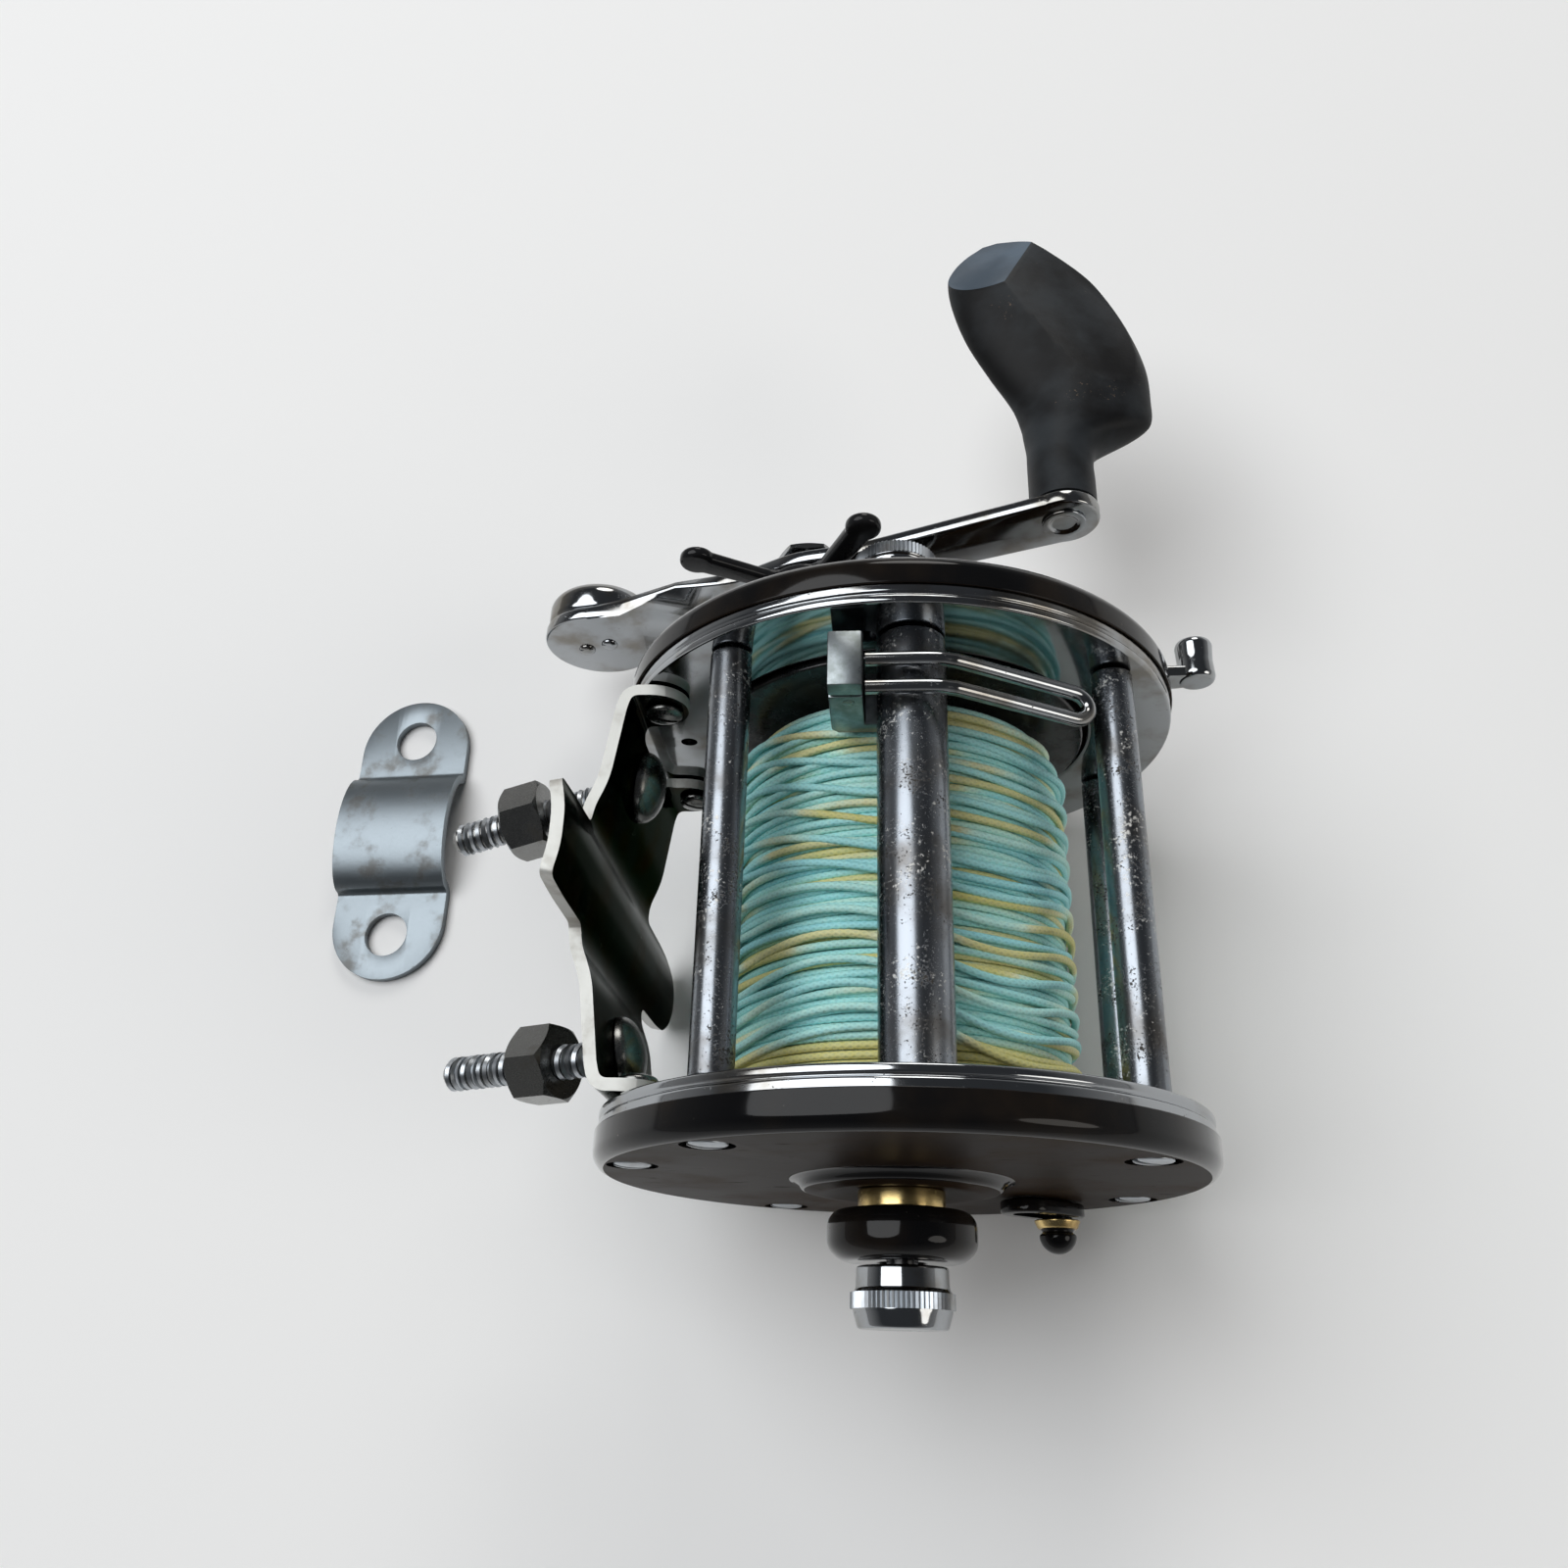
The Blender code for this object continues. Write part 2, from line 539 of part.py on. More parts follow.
def make_carriage():
    """Make the line-guide carriage: block with its arm behind the worm, pawl and wire loop."""
    half = CARRIAGE_HEIGHT / 2
    left = WORM_X - SHIELD_RADIUS - 1.4 - CARRIAGE_BLOCK_WIDTH
    right = left + CARRIAGE_BLOCK_WIDTH
    arm_top = WORM_Z - WORM_RADIUS - 0.5
    arm_low = arm_top - CARRIAGE_ARM_THICK
    outline = [
        (left, arm_low + 0.8), (left + 0.8, arm_low), (WORM_X + 3.0, arm_low), (WORM_X + 3.0, arm_top),
        (right, arm_top), (right, CARRIAGE_FRONT), (left, CARRIAGE_FRONT),
    ]
    place = (0, CARRIAGE_CENTRE, 0)
    block = prism("carriage_block", outline, -half, half, ZINC, place)
    spot = (WORM_X, CARRIAGE_CENTRE, 0)
    floor = arm_low + CARRIAGE_ARM_THICK * 0.4
    socket = disc(PAWL_RADIUS + SHORT_GAP, 14)
    cut(block, as_tool(prism("pawl_socket", socket, floor, arm_top + 2, STEEL, spot, "Z")))
    top = WORM_Z - WORM_RADIUS - GAP
    prism("pawl", disc(PAWL_RADIUS, 14), floor + GAP, top, BRASS, spot, "Z")
    wire_z = WORM_Z + SHIELD_RADIUS + GUIDE_WIRE_RADIUS + 0.5
    wire_y = -GUIDE_DROP
    corner = WORM_X + SHIELD_RADIUS + 0.2
    tip_x, tip_z = polar(POST_CIRCLE + 0.4, POST_ANGLES["front_upper"] + 11.0)
    side = [
        Vector((right + GAP, wire_y + GUIDE_PITCH / 2, wire_z)),
        Vector((corner - 1.6, wire_y + GUIDE_PITCH / 2, wire_z)),
        Vector((corner, wire_y + GUIDE_PITCH / 2, wire_z - 0.35)),
        Vector((corner + 1.5, wire_y + GUIDE_PITCH / 2, wire_z - 1.1)),
        Vector((tip_x - 1.8, wire_y + GUIDE_PITCH / 2, tip_z + 0.95)),
    ]
    bend = []
    for step in range(1, 6):
        angle = math.pi * step / 6
        reach = Vector((tip_x - side[-1].x, 0.0, tip_z - side[-1].z)) * math.sin(angle)
        bend.append(side[-1] + reach + Vector((0.0, GUIDE_PITCH / 2 * (math.cos(angle) - 1), 0.0)))
    back = [Vector((p.x, 2 * wire_y - p.y, p.z)) for p in reversed(side)]
    tube("guide_wire", side + bend + back, GUIDE_WIRE_RADIUS, CHROME, place, 2)
    stub = WORM_Z + SHIELD_RADIUS + 0.5 + 2 * GUIDE_WIRE_RADIUS
    seat = CARRIAGE_FRONT + GAP
    head = [(left, seat), (right, seat), (right, stub + 0.6), (left, stub + 0.6)]
    prism("carriage_cap", head, -half, half, ZINC, place)


def tube(name, points, radius, material, centre, resolution):
    """Make a round tube along points, with closed ends."""
    curve = bpy.data.curves.new(name, "CURVE")
    curve.dimensions = "3D"
    curve.bevel_depth = radius * MM
    curve.bevel_resolution = resolution
    curve.use_fill_caps = True
    spline = curve.splines.new("POLY")
    spline.points.add(len(points) - 1)
    for slot, point in zip(spline.points, points):
        slot.co = (*(Vector(point) * MM), 1.0)
    curve.materials.append(material)
    thing = bpy.data.objects.new(name, curve)
    bpy.context.collection.objects.link(thing)
    thing.location = Vector(centre) * MM
    thing.parent = REEL
    return thing


def winding_points():
    """Return the outer layer of line: a steady helix whose ends run square to the flanges."""
    radius = LINE_PACK_RADIUS + GAP + LINE_RADIUS
    half = FLANGE_FACE - LINE_SIDE_MARGIN
    total = LOOP_COUNT * POINT_COUNT
    helix = []
    for step in range(total + 1):
        angle = 2 * math.pi * step / POINT_COUNT
        y = -half + 2 * half * step / total
        helix.append(Vector((radius * math.cos(angle), y, radius * math.sin(angle))))
    lead = []
    for share, rise in ((-0.62, 0.0), (-0.62, 2 * LINE_RADIUS), (-0.5, 2 * LINE_RADIUS + 0.45)):
        angle = 2 * math.pi * share / POINT_COUNT
        y = -FLANGE_FACE + GAP + rise
        lead.append(Vector((radius * math.cos(angle), y, radius * math.sin(angle))))
    tail = [Vector((p.x, -p.y, -p.z)) for p in reversed(lead)]
    return lead + helix + tail


def least_gap(points, radius):
    """Measure the smallest clear distance between turns of a tube, on its points."""
    least = float("inf")
    for index, point in enumerate(points):
        for other in points[index + POINT_COUNT // 2:]:
            least = min(least, (point - other).length - 2 * radius)
    return least


def make_spool():
    """Make the spool with its shaft, the packed line under the outer layer, and that layer."""
    rim = FLANGE_RADIUS
    profile = [
        (0, -BOSS_END + GAP), (SHAFT_RADIUS, -BOSS_END + GAP), (SHAFT_RADIUS, -FLANGE_BACK),
        (rim - 0.4, -FLANGE_BACK), (rim, -FLANGE_BACK + 0.4), (rim, -FLANGE_FACE),
        (ARBOR_RADIUS, -FLANGE_FACE), (ARBOR_RADIUS, FLANGE_FACE), (rim, FLANGE_FACE),
        (rim, FLANGE_BACK - 0.4), (rim - 0.4, FLANGE_BACK),
        (SHAFT_RADIUS, FLANGE_BACK), (SHAFT_RADIUS, HOUSING_END - GAP), (0, HOUSING_END - GAP),
    ]
    turned("spool", profile, SPOOL_GREY, sides=32)
    pack = annulus(LINE_PACK_RADIUS, ARBOR_RADIUS + GAP, -FLANGE_FACE + GAP, FLANGE_FACE - GAP)
    turned("line_core", pack, LINE_OLIVE, sides=32)
    points = winding_points()
    print("least gap between turns of line, mm:", round(least_gap(points, LINE_RADIUS), 3))
    tube("line_winding", points, LINE_RADIUS, LINE_TEAL, (0, 0, 0), 1)


def make_caps():
    """Make the two knurled bearing caps."""
    for side, start, length in (
        ("left", BOSS_END + GAP, CAP_LENGTH),
        ("right", HOUSING_END + GAP, RIGHT_CAP_LENGTH),
    ):
        sign = side_sign(side)
        end = start + length
        profile = [
            (0, start), (CAP_RADIUS - 0.7, start), (CAP_RADIUS - 0.5, end - 3.4), (CAP_RADIUS, end - 2.9),
            (CAP_RADIUS, end - 1.3), (CAP_RADIUS - 0.5, end - 0.8), (CAP_RADIUS - 0.9, end), (0, end),
        ]
        turned(f"cap_{side}", [(r, sign * y) for r, y in profile], CHROME, sides=24)


def make_click():
    """Make the click switch: brass bush plate on the left plate and the sliding button through it."""
    x, z = polar(CLICK_CIRCLE, CLICK_ANGLE)
    base = -BEZEL_BACK - GAP
    outline = stadium(CLICK_TRAVEL / 2, CLICK_BUSH_RADIUS, CLICK_ANGLE)
    bush = prism("click_bush", outline, base - CLICK_BUSH_THICK, base, BRASS, (x, 0, z))
    slot = stadium(CLICK_TRAVEL / 2, CLICK_STEM_RADIUS + GAP, CLICK_ANGLE)
    cut(bush, as_tool(prism("click_bush_slot", slot, base - 3, base + 1, STEEL, (x, 0, z))))
    bx, bz = polar(CLICK_CIRCLE + CLICK_TRAVEL / 2, CLICK_ANGLE)
    stem = CLICK_STEM_RADIUS
    cap = CLICK_BUTTON_RADIUS
    skirt = base - CLICK_BUSH_THICK - GAP
    foot = -BEZEL_FACE
    profile = [
        (0, foot), (stem, foot), (stem, skirt), (cap, skirt), (cap, skirt - 1.2),
        (cap * 0.8, skirt - 2.4), (cap * 0.4, skirt - 3.0), (0, skirt - 3.2),
    ]
    turned("click_button", profile, BLACK, (bx, 0, bz), 16)


def make_drive():
    """Make the bridge, the pinion with its yoke, the main gear, the drag stack and the crank sleeve."""
    low = BEZEL_FACE + GAP
    high = low + BRIDGE_THICK
    bridge = prism("bridge", disc(CAVITY_RADIUS - GAP, 36), low, high, CHROME, (HOUSING_X, 0, HOUSING_Z))
    cut(bridge, bore_tool("bridge_bore", SHAFT_RADIUS + GAP, low - 1, high + 1, (0, 0, 0)))
    start = GEAR_BACK
    stop = start + GEAR_WIDTH
    axis = (CRANK_X, 0, CRANK_Z)
    gear("main_gear", MAIN_GEAR_TIP, MAIN_GEAR_TEETH, start, stop, SLEEVE_RADIUS + GAP, BRASS, axis)
    washer = stop + GAP
    stack = annulus(DRAG_STACK_RADIUS, SLEEVE_RADIUS + GAP, washer, washer + DRAG_STACK_HEIGHT)
    turned("drag_stack", stack, FIBRE, axis, 20)
    sleeve = [(0, start), (SLEEVE_RADIUS, start), (SLEEVE_RADIUS, ARM_FACE + 1.0), (0, ARM_FACE + 1.0)]
    turned("crank_sleeve", sleeve, STEEL, axis, 16)
    gear("pinion", PINION_TIP, PINION_TEETH, start, stop, SHAFT_RADIUS + GAP, BRASS, (0, 0, 0))
    yoke = stop + GAP
    reach = CAVITY_RADIUS + HOUSING_X - 3.0
    outline = [(-2.9, -4.0), (3.2, -4.0), (reach, -2.2), (reach, 2.2), (3.2, 4.0), (-2.9, 4.0)]
    fork = prism("yoke", outline, yoke, yoke + 1.6, STEEL)
    cut(fork, bore_tool("yoke_bore", SHAFT_RADIUS + GAP, yoke - 1, yoke + 3, (0, 0, 0)))


def make_star():
    """Make the star drag wheel: ball-ended arms that clear the bearing cap, on a hub."""
    low = HOUSING_END + GAP
    high = STAR_BACK + STAR_THICK
    outline = []
    for arm in range(STAR_ARMS):
        middle = STAR_PHASE + 360.0 * arm / STAR_ARMS
        neck = math.degrees(STAR_ARM_HALF_WIDTH / STAR_HUB_RADIUS)
        tip_x, tip_z = polar(STAR_ARM_RADIUS - STAR_KNOB_RADIUS, middle)
        outline.append(polar(STAR_HUB_RADIUS, middle - neck))
        for step in range(9):
            x, z = polar(STAR_KNOB_RADIUS, middle - 130.0 + 260.0 * step / 8)
            outline.append((tip_x + x, tip_z + z))
        outline.append(polar(STAR_HUB_RADIUS, middle + neck))
    axis = (CRANK_X, 0, CRANK_Z)
    star = prism("star_drag", outline, STAR_BACK, high, BLACK, axis)
    cut(star, bore_tool("star_hub", STAR_HUB_RADIUS - GAP, low, high - SHORT_GAP, axis, 16), "UNION")
    cut(star, bore_tool("star_bore", SLEEVE_RADIUS + GAP, low - 1, high + 1, axis, 16))


def arm_outline():
    """Return the handle's outline: eye, tapering arm, hub and round counterweight foot."""
    points = []
    ends = ((KNOB_THROW, EYE_RADIUS, 0.0), (-WEIGHT_THROW, WEIGHT_RADIUS, 180.0))
    for throw, radius, middle in ends:
        for step in range(13):
            angle = math.radians(middle - 105.0 + 210.0 * step / 12)
            points.append((throw + radius * math.cos(angle), radius * math.sin(angle)))
        side = 1.0 if throw > 0 else -1.0
        points.append((side * ARM_HALF_WIDTH * 2.2, side * ARM_HALF_WIDTH))
        points.append((0.0, side * (ARM_HALF_WIDTH + 1.6)))
        points.append((-side * ARM_HALF_WIDTH * 2.2, side * ARM_HALF_WIDTH))
    return rotated(points, ARM_ANGLE)


def make_handle():
    """Make the counterbalanced handle, its weight, its nut, the knob spindle with ferrule, and the grip."""
    axis = (CRANK_X, 0, CRANK_Z)
    handle = prism("handle_arm", arm_outline(), ARM_BACK, ARM_FACE, CHROME, axis)
    cut(handle, bore_tool("arm_bore", SLEEVE_RADIUS + GAP, ARM_BACK - 1, ARM_FACE + 1, axis, 16))
    knob = (KNOB_X, 0, KNOB_Z)
    cut(handle, bore_tool("eye_bore", SPINDLE_RADIUS + GAP, ARM_BACK - 1, ARM_FACE + 1, knob, 20))
    wx, wz = polar(WEIGHT_THROW, ARM_ANGLE + 180.0)
    low = ARM_FACE + GAP
    high = low + WEIGHT_THICK
    rim = WEIGHT_RADIUS - 0.3
    weight = [(0, low), (rim, low), (rim, high - 1.6), (rim - 1.6, high), (0, high)]
    turned("handle_weight", weight, CHROME, (CRANK_X + wx, 0, CRANK_Z + wz), 28)
    low = ARM_FACE + 1.0 + GAP
    nut = prism("handle_nut", disc(HANDLE_NUT_RADIUS, 6), low, low + HANDLE_NUT_HEIGHT, CHROME, axis)
    nut.data.shade_flat()
    base = ARM_FACE + GAP
    seat = base + FERRULE_HEIGHT
    rivet = SPINDLE_RADIUS + 1.0
    under = ARM_BACK - SHORT_GAP
    end = seat + GRIP_LENGTH * GRIP_BORE_SHARE
    spindle = [
        (0, ARM_BACK - 1.0), (rivet, ARM_BACK - 1.0), (rivet, under), (SPINDLE_RADIUS, under),
        (SPINDLE_RADIUS, base), (FERRULE_RADIUS, base), (FERRULE_RADIUS, seat), (SPINDLE_RADIUS, seat),
        (SPINDLE_RADIUS, end), (0, end),
    ]
    turned("knob_spindle", spindle, CHROME, knob, 16)
    make_grip(seat + GAP, knob)


def make_grip(start, knob):
    """Make the paddle grip by lofting rounded sections along its length, then boring it for its spindle."""
    sections = (
        (0.00, 0.0, 1.00, 1.00), (0.16, 0.0, 0.98, 1.00), (0.25, 1.0, 1.25, 1.05),
        (0.31, 2.6, 2.05, 1.15), (0.45, 0.6, 2.60, 1.10), (0.60, -1.6, 2.85, 1.02),
        (0.75, -3.6, 2.75, 0.95), (0.88, -5.0, 2.15, 0.88), (0.97, -5.6, 1.35, 0.80),
        (1.00, -5.6, 0.95, 0.66),
    )
    sides = 24
    work = bmesh.new()
    rings = []
    for share, shift, wide, thick in sections:
        ring = []
        for step in range(sides):
            angle = 2 * math.pi * step / sides
            x = shift + GRIP_NECK_RADIUS * wide * math.cos(angle)
            squareness = 1.0 if share < 0.2 else 0.75
            lobe = math.copysign(abs(math.sin(angle)) ** squareness, math.sin(angle))
            z = GRIP_THICK / 2 * thick * lobe
            ring.append(work.verts.new((x, start + GRIP_LENGTH * share, z)))
        rings.append(ring)
    for low, high in zip(rings, rings[1:]):
        for step in range(sides):
            after = (step + 1) % sides
            work.faces.new((low[step], low[after], high[after], high[step]))
    work.faces.new(rings[0])
    work.faces.new(rings[-1])
    grip = adopt("grip", mesh_from("grip", work), GRIP_BLACK, knob)
    depth = start + GRIP_LENGTH * GRIP_BORE_SHARE + GAP
    cut(grip, bore_tool("grip_bore", SPINDLE_RADIUS + GAP, start - 1, depth, knob, 20))


def make_lever():
    """Make the free-spool lever with its peg and its short pivot."""
    low = BEZEL_BACK + GAP
    high = low + LEVER_THICK
    points = []
    for throw, radius, middle in ((LEVER_REACH, LEVER_PEG_RADIUS, 0.0), (0.0, LEVER_HUB_RADIUS, 180.0)):
        for step in range(11):
            angle = math.radians(middle - 90.0 + 180.0 * step / 10)
            points.append((throw + radius * math.cos(angle), radius * math.sin(angle)))
    prism("free_spool_lever", rotated(points, LEVER_ANGLE), low, high, CHROME, (LEVER_X, 0, LEVER_Z))
    px, pz = polar(LEVER_REACH, LEVER_ANGLE)
    rim = LEVER_PEG_RADIUS
    foot, top = high + GAP, high + GAP + LEVER_PEG_LENGTH
    peg = [(0, foot), (rim, foot), (rim, top - 0.4), (rim - 0.4, top), (0, top)]
    turned("lever_peg", peg, CHROME, (LEVER_X + px, 0, LEVER_Z + pz), 20)
    foot = BEZEL_BACK - BLIND_DEPTH
    head = low - SHORT_GAP
    pin = [(0, foot), (PIN_RADIUS, foot), (PIN_RADIUS, head), (0, head)]
    turned("lever_pivot", pin, STEEL, (LEVER_X, 0, LEVER_Z), 16)


def stand_section():
    """Return the stand's bent section as (y, x) points from the middle out, with the blade's end index."""
    seat, edge = STAND_SEAT, BLADE_HALF_WIDTH
    low = seat - BLADE_DROP
    foot = low + LEG_RISE
    tab_y = RING_FACE - GAP - STAND_THICK
    points = [
        (SEAT_HALF_WIDTH, seat), (edge * 0.6, seat - BLADE_DROP * 0.3), (edge, low),
        (edge + 2.4, low + 0.2), (STUD_HALF_SPACING - 5.5, low + LEG_RISE * 0.55),
        (STUD_HALF_SPACING + 4.0, foot), (tab_y - 0.9, foot + 0.3), (tab_y, foot + 1.3),
        (tab_y, foot + TAB_HEIGHT),
    ]
    return points, 2


def make_stand():
    """Make the stamped stand: a saddle blade along the rod and two forked legs with bent tabs."""
    section, blade_end = stand_section()
    rows = [BLADE_REAR, BLADE_REAR + BLADE_ROUNDING, BLADE_REAR + BLADE_TAPER]
    rows += [-LEG_HALF_LENGTH, -FORK_HALF_GAP, FORK_HALF_GAP, LEG_HALF_LENGTH]
    rows += [BLADE_FRONT - BLADE_TAPER, BLADE_FRONT - BLADE_ROUNDING, BLADE_FRONT]
    narrowing = {0: 0.5, 1: 0.85, len(rows) - 1: 0.9}
    work = bmesh.new()
    columns = [(-y, x, index) for index, (y, x) in reversed(list(enumerate(section)))]
    columns += [(y, x, index) for index, (y, x) in enumerate(section)]
    grid = {}
    for row, z in enumerate(rows):
        for column, (y, x, index) in enumerate(columns):
            scale = narrowing.get(row, 1.0) if index <= blade_end else 1.0
            grid[row, column] = work.verts.new((x, y * scale, z))
    leg_rows = (3, 4, 5)
    fork_row = 4
    for row in range(len(rows) - 1):
        for column in range(len(columns) - 1):
            index = max(columns[column][2], columns[column + 1][2])
            on_blade = index <= blade_end
            on_leg = row in leg_rows and (row != fork_row or index <= 5)
            if on_blade or on_leg:
                near = [grid[row, column], grid[row, column + 1]]
                far = [grid[row + 1, column + 1], grid[row + 1, column]]
                work.faces.new(near + far)
    bmesh.ops.delete(work, geom=[v for v in work.verts if not v.link_faces], context="VERTS")
    bmesh.ops.recalc_face_normals(work, faces=work.faces[:])
    middle = min(work.faces, key=lambda face: face.calc_center_median().length)
    if middle.normal.x < 0:
        bmesh.ops.reverse_faces(work, faces=work.faces[:])
    bmesh.ops.scale(work, vec=(MM, MM, MM), verts=work.verts[:])
    mesh = bpy.data.meshes.new("stand")
    work.to_mesh(mesh)
    work.free()
    stand = adopt("stand", mesh, CHROME)
    shell = stand.modifiers.new("sheet", "SOLIDIFY")
    shell.thickness = STAND_THICK * MM
    shell.offset = -1.0
    shell.use_even_offset = True
    leg_x = STAND_SEAT - BLADE_DROP + LEG_RISE * 0.8
    for side in ("left", "right"):
        sign = side_sign(side)
        hole = disc(STUD_RADIUS + STUD_HOLE_CLEAR, 20)
        spot = (0, sign * STUD_HALF_SPACING, STUD_Z)
        cut(stand, as_tool(prism(f"stud_hole_{side}", hole, leg_x - 6, leg_x + 6, STEEL, spot, "X")))
        for label, z in (("front", TAB_SCREW_Z), ("rear", -TAB_SCREW_Z)):
            x = STAND_SEAT - BLADE_DROP + LEG_RISE + TAB_HEIGHT * 0.55
            low, high = sorted((sign * (RING_FACE - 4), sign * (RING_FACE + 0.1)))
            tool = bore_tool(f"tab_hole_{side}_{label}", SCREW_SHANK_RADIUS + GAP, low, high, (x, 0, z), 14)
            cut(stand, tool)
            face = RING_FACE - GAP - STAND_THICK - GAP
            tip = RING_FACE - SHORT_GAP
            rim = TAB_SCREW_HEAD
            head = [
                (0, tip), (SCREW_SHANK_RADIUS, tip), (SCREW_SHANK_RADIUS, face), (rim, face),
                (rim * 0.8, face - 0.9), (rim * 0.4, face - 1.4), (0, face - 1.5),
            ]
            turned(f"tab_screw_{side}_{label}", [(r, sign * y) for r, y in head], STEEL, (x, 0, z), 10)


def make_studs():
    """Make the two loose clamp studs, each leaning by its own droop and sway, and their nuts."""
    seat = STAND_SEAT - BLADE_DROP + LEG_RISE * 0.86
    for side in ("left", "right"):
        droop, sway = (math.radians(angle) for angle in STUD_LEAN[side])
        level = math.cos(sway)
        way = Vector((-math.cos(droop) * level, -math.sin(sway), -math.sin(droop) * level))
        pivot = bpy.data.objects.new(f"stud_axis_{side}", None)
        bpy.context.collection.objects.link(pivot)
        pivot.parent = REEL
        pivot.location = Vector((seat, side_sign(side) * STUD_HALF_SPACING, STUD_Z)) * MM
        pivot.rotation_mode = "QUATERNION"
        pivot.rotation_quaternion = way.to_track_quat("Y", "Z")
        slope = math.atan2(LEG_RISE * 0.45, 9.5)
        square = Vector((-math.cos(slope), side_sign(side) * math.sin(slope), 0.0))
        top = -STUD_HEAD_RADIUS * math.sqrt(1.0 - way.dot(square) ** 2) - GAP
        rim, rise = STUD_HEAD_RADIUS, STUD_HEAD_HEIGHT
        profile = [
            (0, STUD_LENGTH), (STUD_RADIUS - 0.4, STUD_LENGTH), (STUD_RADIUS, STUD_LENGTH - 0.5),
            (STUD_RADIUS, top), (rim, top), (rim * 0.82, top - rise * 0.6), (rim * 0.42, top - rise * 0.93),
            (0, top - rise),
        ]
        turned(f"stud_{side}", profile, ZINC, sides=16, parent=pivot)
        low = NUT_PLACE[side]
        high = low + NUT_THICK
        nut = prism(f"nut_{side}", disc(NUT_FLATS / math.sqrt(3.0), 6), low, high, STEEL, parent=pivot)
        nut.data.shade_flat()
        cut(nut, bore_tool(f"nut_bore_{side}", STUD_RADIUS + GAP, low - 1, high + 1, (0, 0, 0), 16, pivot))


def make_clamp():
    """Make the loose rod clamp lying on the floor: a strap with an arch, round ends and two holes."""
    half = CLAMP_LENGTH / 2
    top = []
    steps = 10
    for step in range(steps + 1):
        y = -CLAMP_ARCH_HALF + 2 * CLAMP_ARCH_HALF * step / steps
        lift = CLAMP_ARCH_RISE * math.sqrt(max(0.0, 1.0 - (y / CLAMP_ARCH_HALF) ** 2))
        top.append((y, CLAMP_THICK + lift))
    outline = [(-half, 0.0), (-half, CLAMP_THICK)] + [(-CLAMP_ARCH_HALF - 1.2, CLAMP_THICK)] + top
    outline += [(CLAMP_ARCH_HALF + 1.2, CLAMP_THICK), (half, CLAMP_THICK), (half, 0.0)]
    under = []
    inner = CLAMP_ARCH_HALF - CLAMP_THICK
    for step in range(steps + 1):
        y = inner - 2 * inner * step / steps
        lift = CLAMP_ARCH_RISE * math.sqrt(max(0.0, 1.0 - (y / inner) ** 2))
        under.append((y, lift))
    outline += under
    centre = (CLAMP_X, CLAMP_Y, 0)
    clamp = prism("rod_clamp", outline, -CLAMP_WIDTH / 2, CLAMP_WIDTH / 2, ZINC, centre, "X", GROUND)
    ends = stadium(half - CLAMP_WIDTH / 2, CLAMP_WIDTH / 2 + SHORT_GAP, 90.0, 12)
    tool = prism("clamp_ends", ends, -1.0, CLAMP_THICK + CLAMP_ARCH_RISE + 1.0, STEEL, centre, "Z", GROUND)
    cut(clamp, as_tool(tool), "INTERSECT")
    for label, sign in (("near", -1.0), ("far", 1.0)):
        place = (CLAMP_X, CLAMP_Y + sign * STUD_HALF_SPACING, 0)
        circle = disc(CLAMP_HOLE_RADIUS, 24)
        hole = prism(f"clamp_hole_{label}", circle, -1.0, CLAMP_THICK + 1, STEEL, place, "Z", GROUND)
        cut(clamp, as_tool(hole))


def centre_on_floor():
    """Move everything so that the origin is under the middle of the whole part, on its lowest level."""
    bpy.context.view_layer.update()
    graph = bpy.context.evaluated_depsgraph_get()
    lows = [float("inf")] * 3
    highs = [float("-inf")] * 3
    for thing in bpy.data.objects:
        if thing.hide_render or thing.type not in {"MESH", "CURVE"}:
            continue
        shape = thing.evaluated_get(graph)
        for vertex in shape.to_mesh().vertices:
            place = thing.matrix_world @ vertex.co
            lows = [min(a, b) for a, b in zip(lows, place)]
            highs = [max(a, b) for a, b in zip(highs, place)]
        shape.to_mesh_clear()
    GROUND.location = (-(lows[0] + highs[0]) / 2, -(lows[1] + highs[1]) / 2, -lows[2])


make_rings()
make_posts()
make_left_plate()
make_right_plate()
make_worm()
make_carriage()
make_spool()
make_caps()
make_click()
make_drive()
make_star()
make_handle()
make_lever()
make_stand()
make_studs()
make_clamp()
centre_on_floor()
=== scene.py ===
"""Looks of the level-wind trolling reel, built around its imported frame.

The reel's own axes are X away from the rod, Y along the spool towards the handle and Z the line side.
Lengths in the classes are millimetres in those axes. A mesh goes to metres in the row frame when placed.
"""
from __future__ import annotations

import json
import logging
import math
from collections.abc import Iterable, Mapping, Sequence
from dataclasses import dataclass
from enum import Enum
from typing import Any, Protocol

import bmesh
import bpy
from mathutils import Matrix, Vector, noise

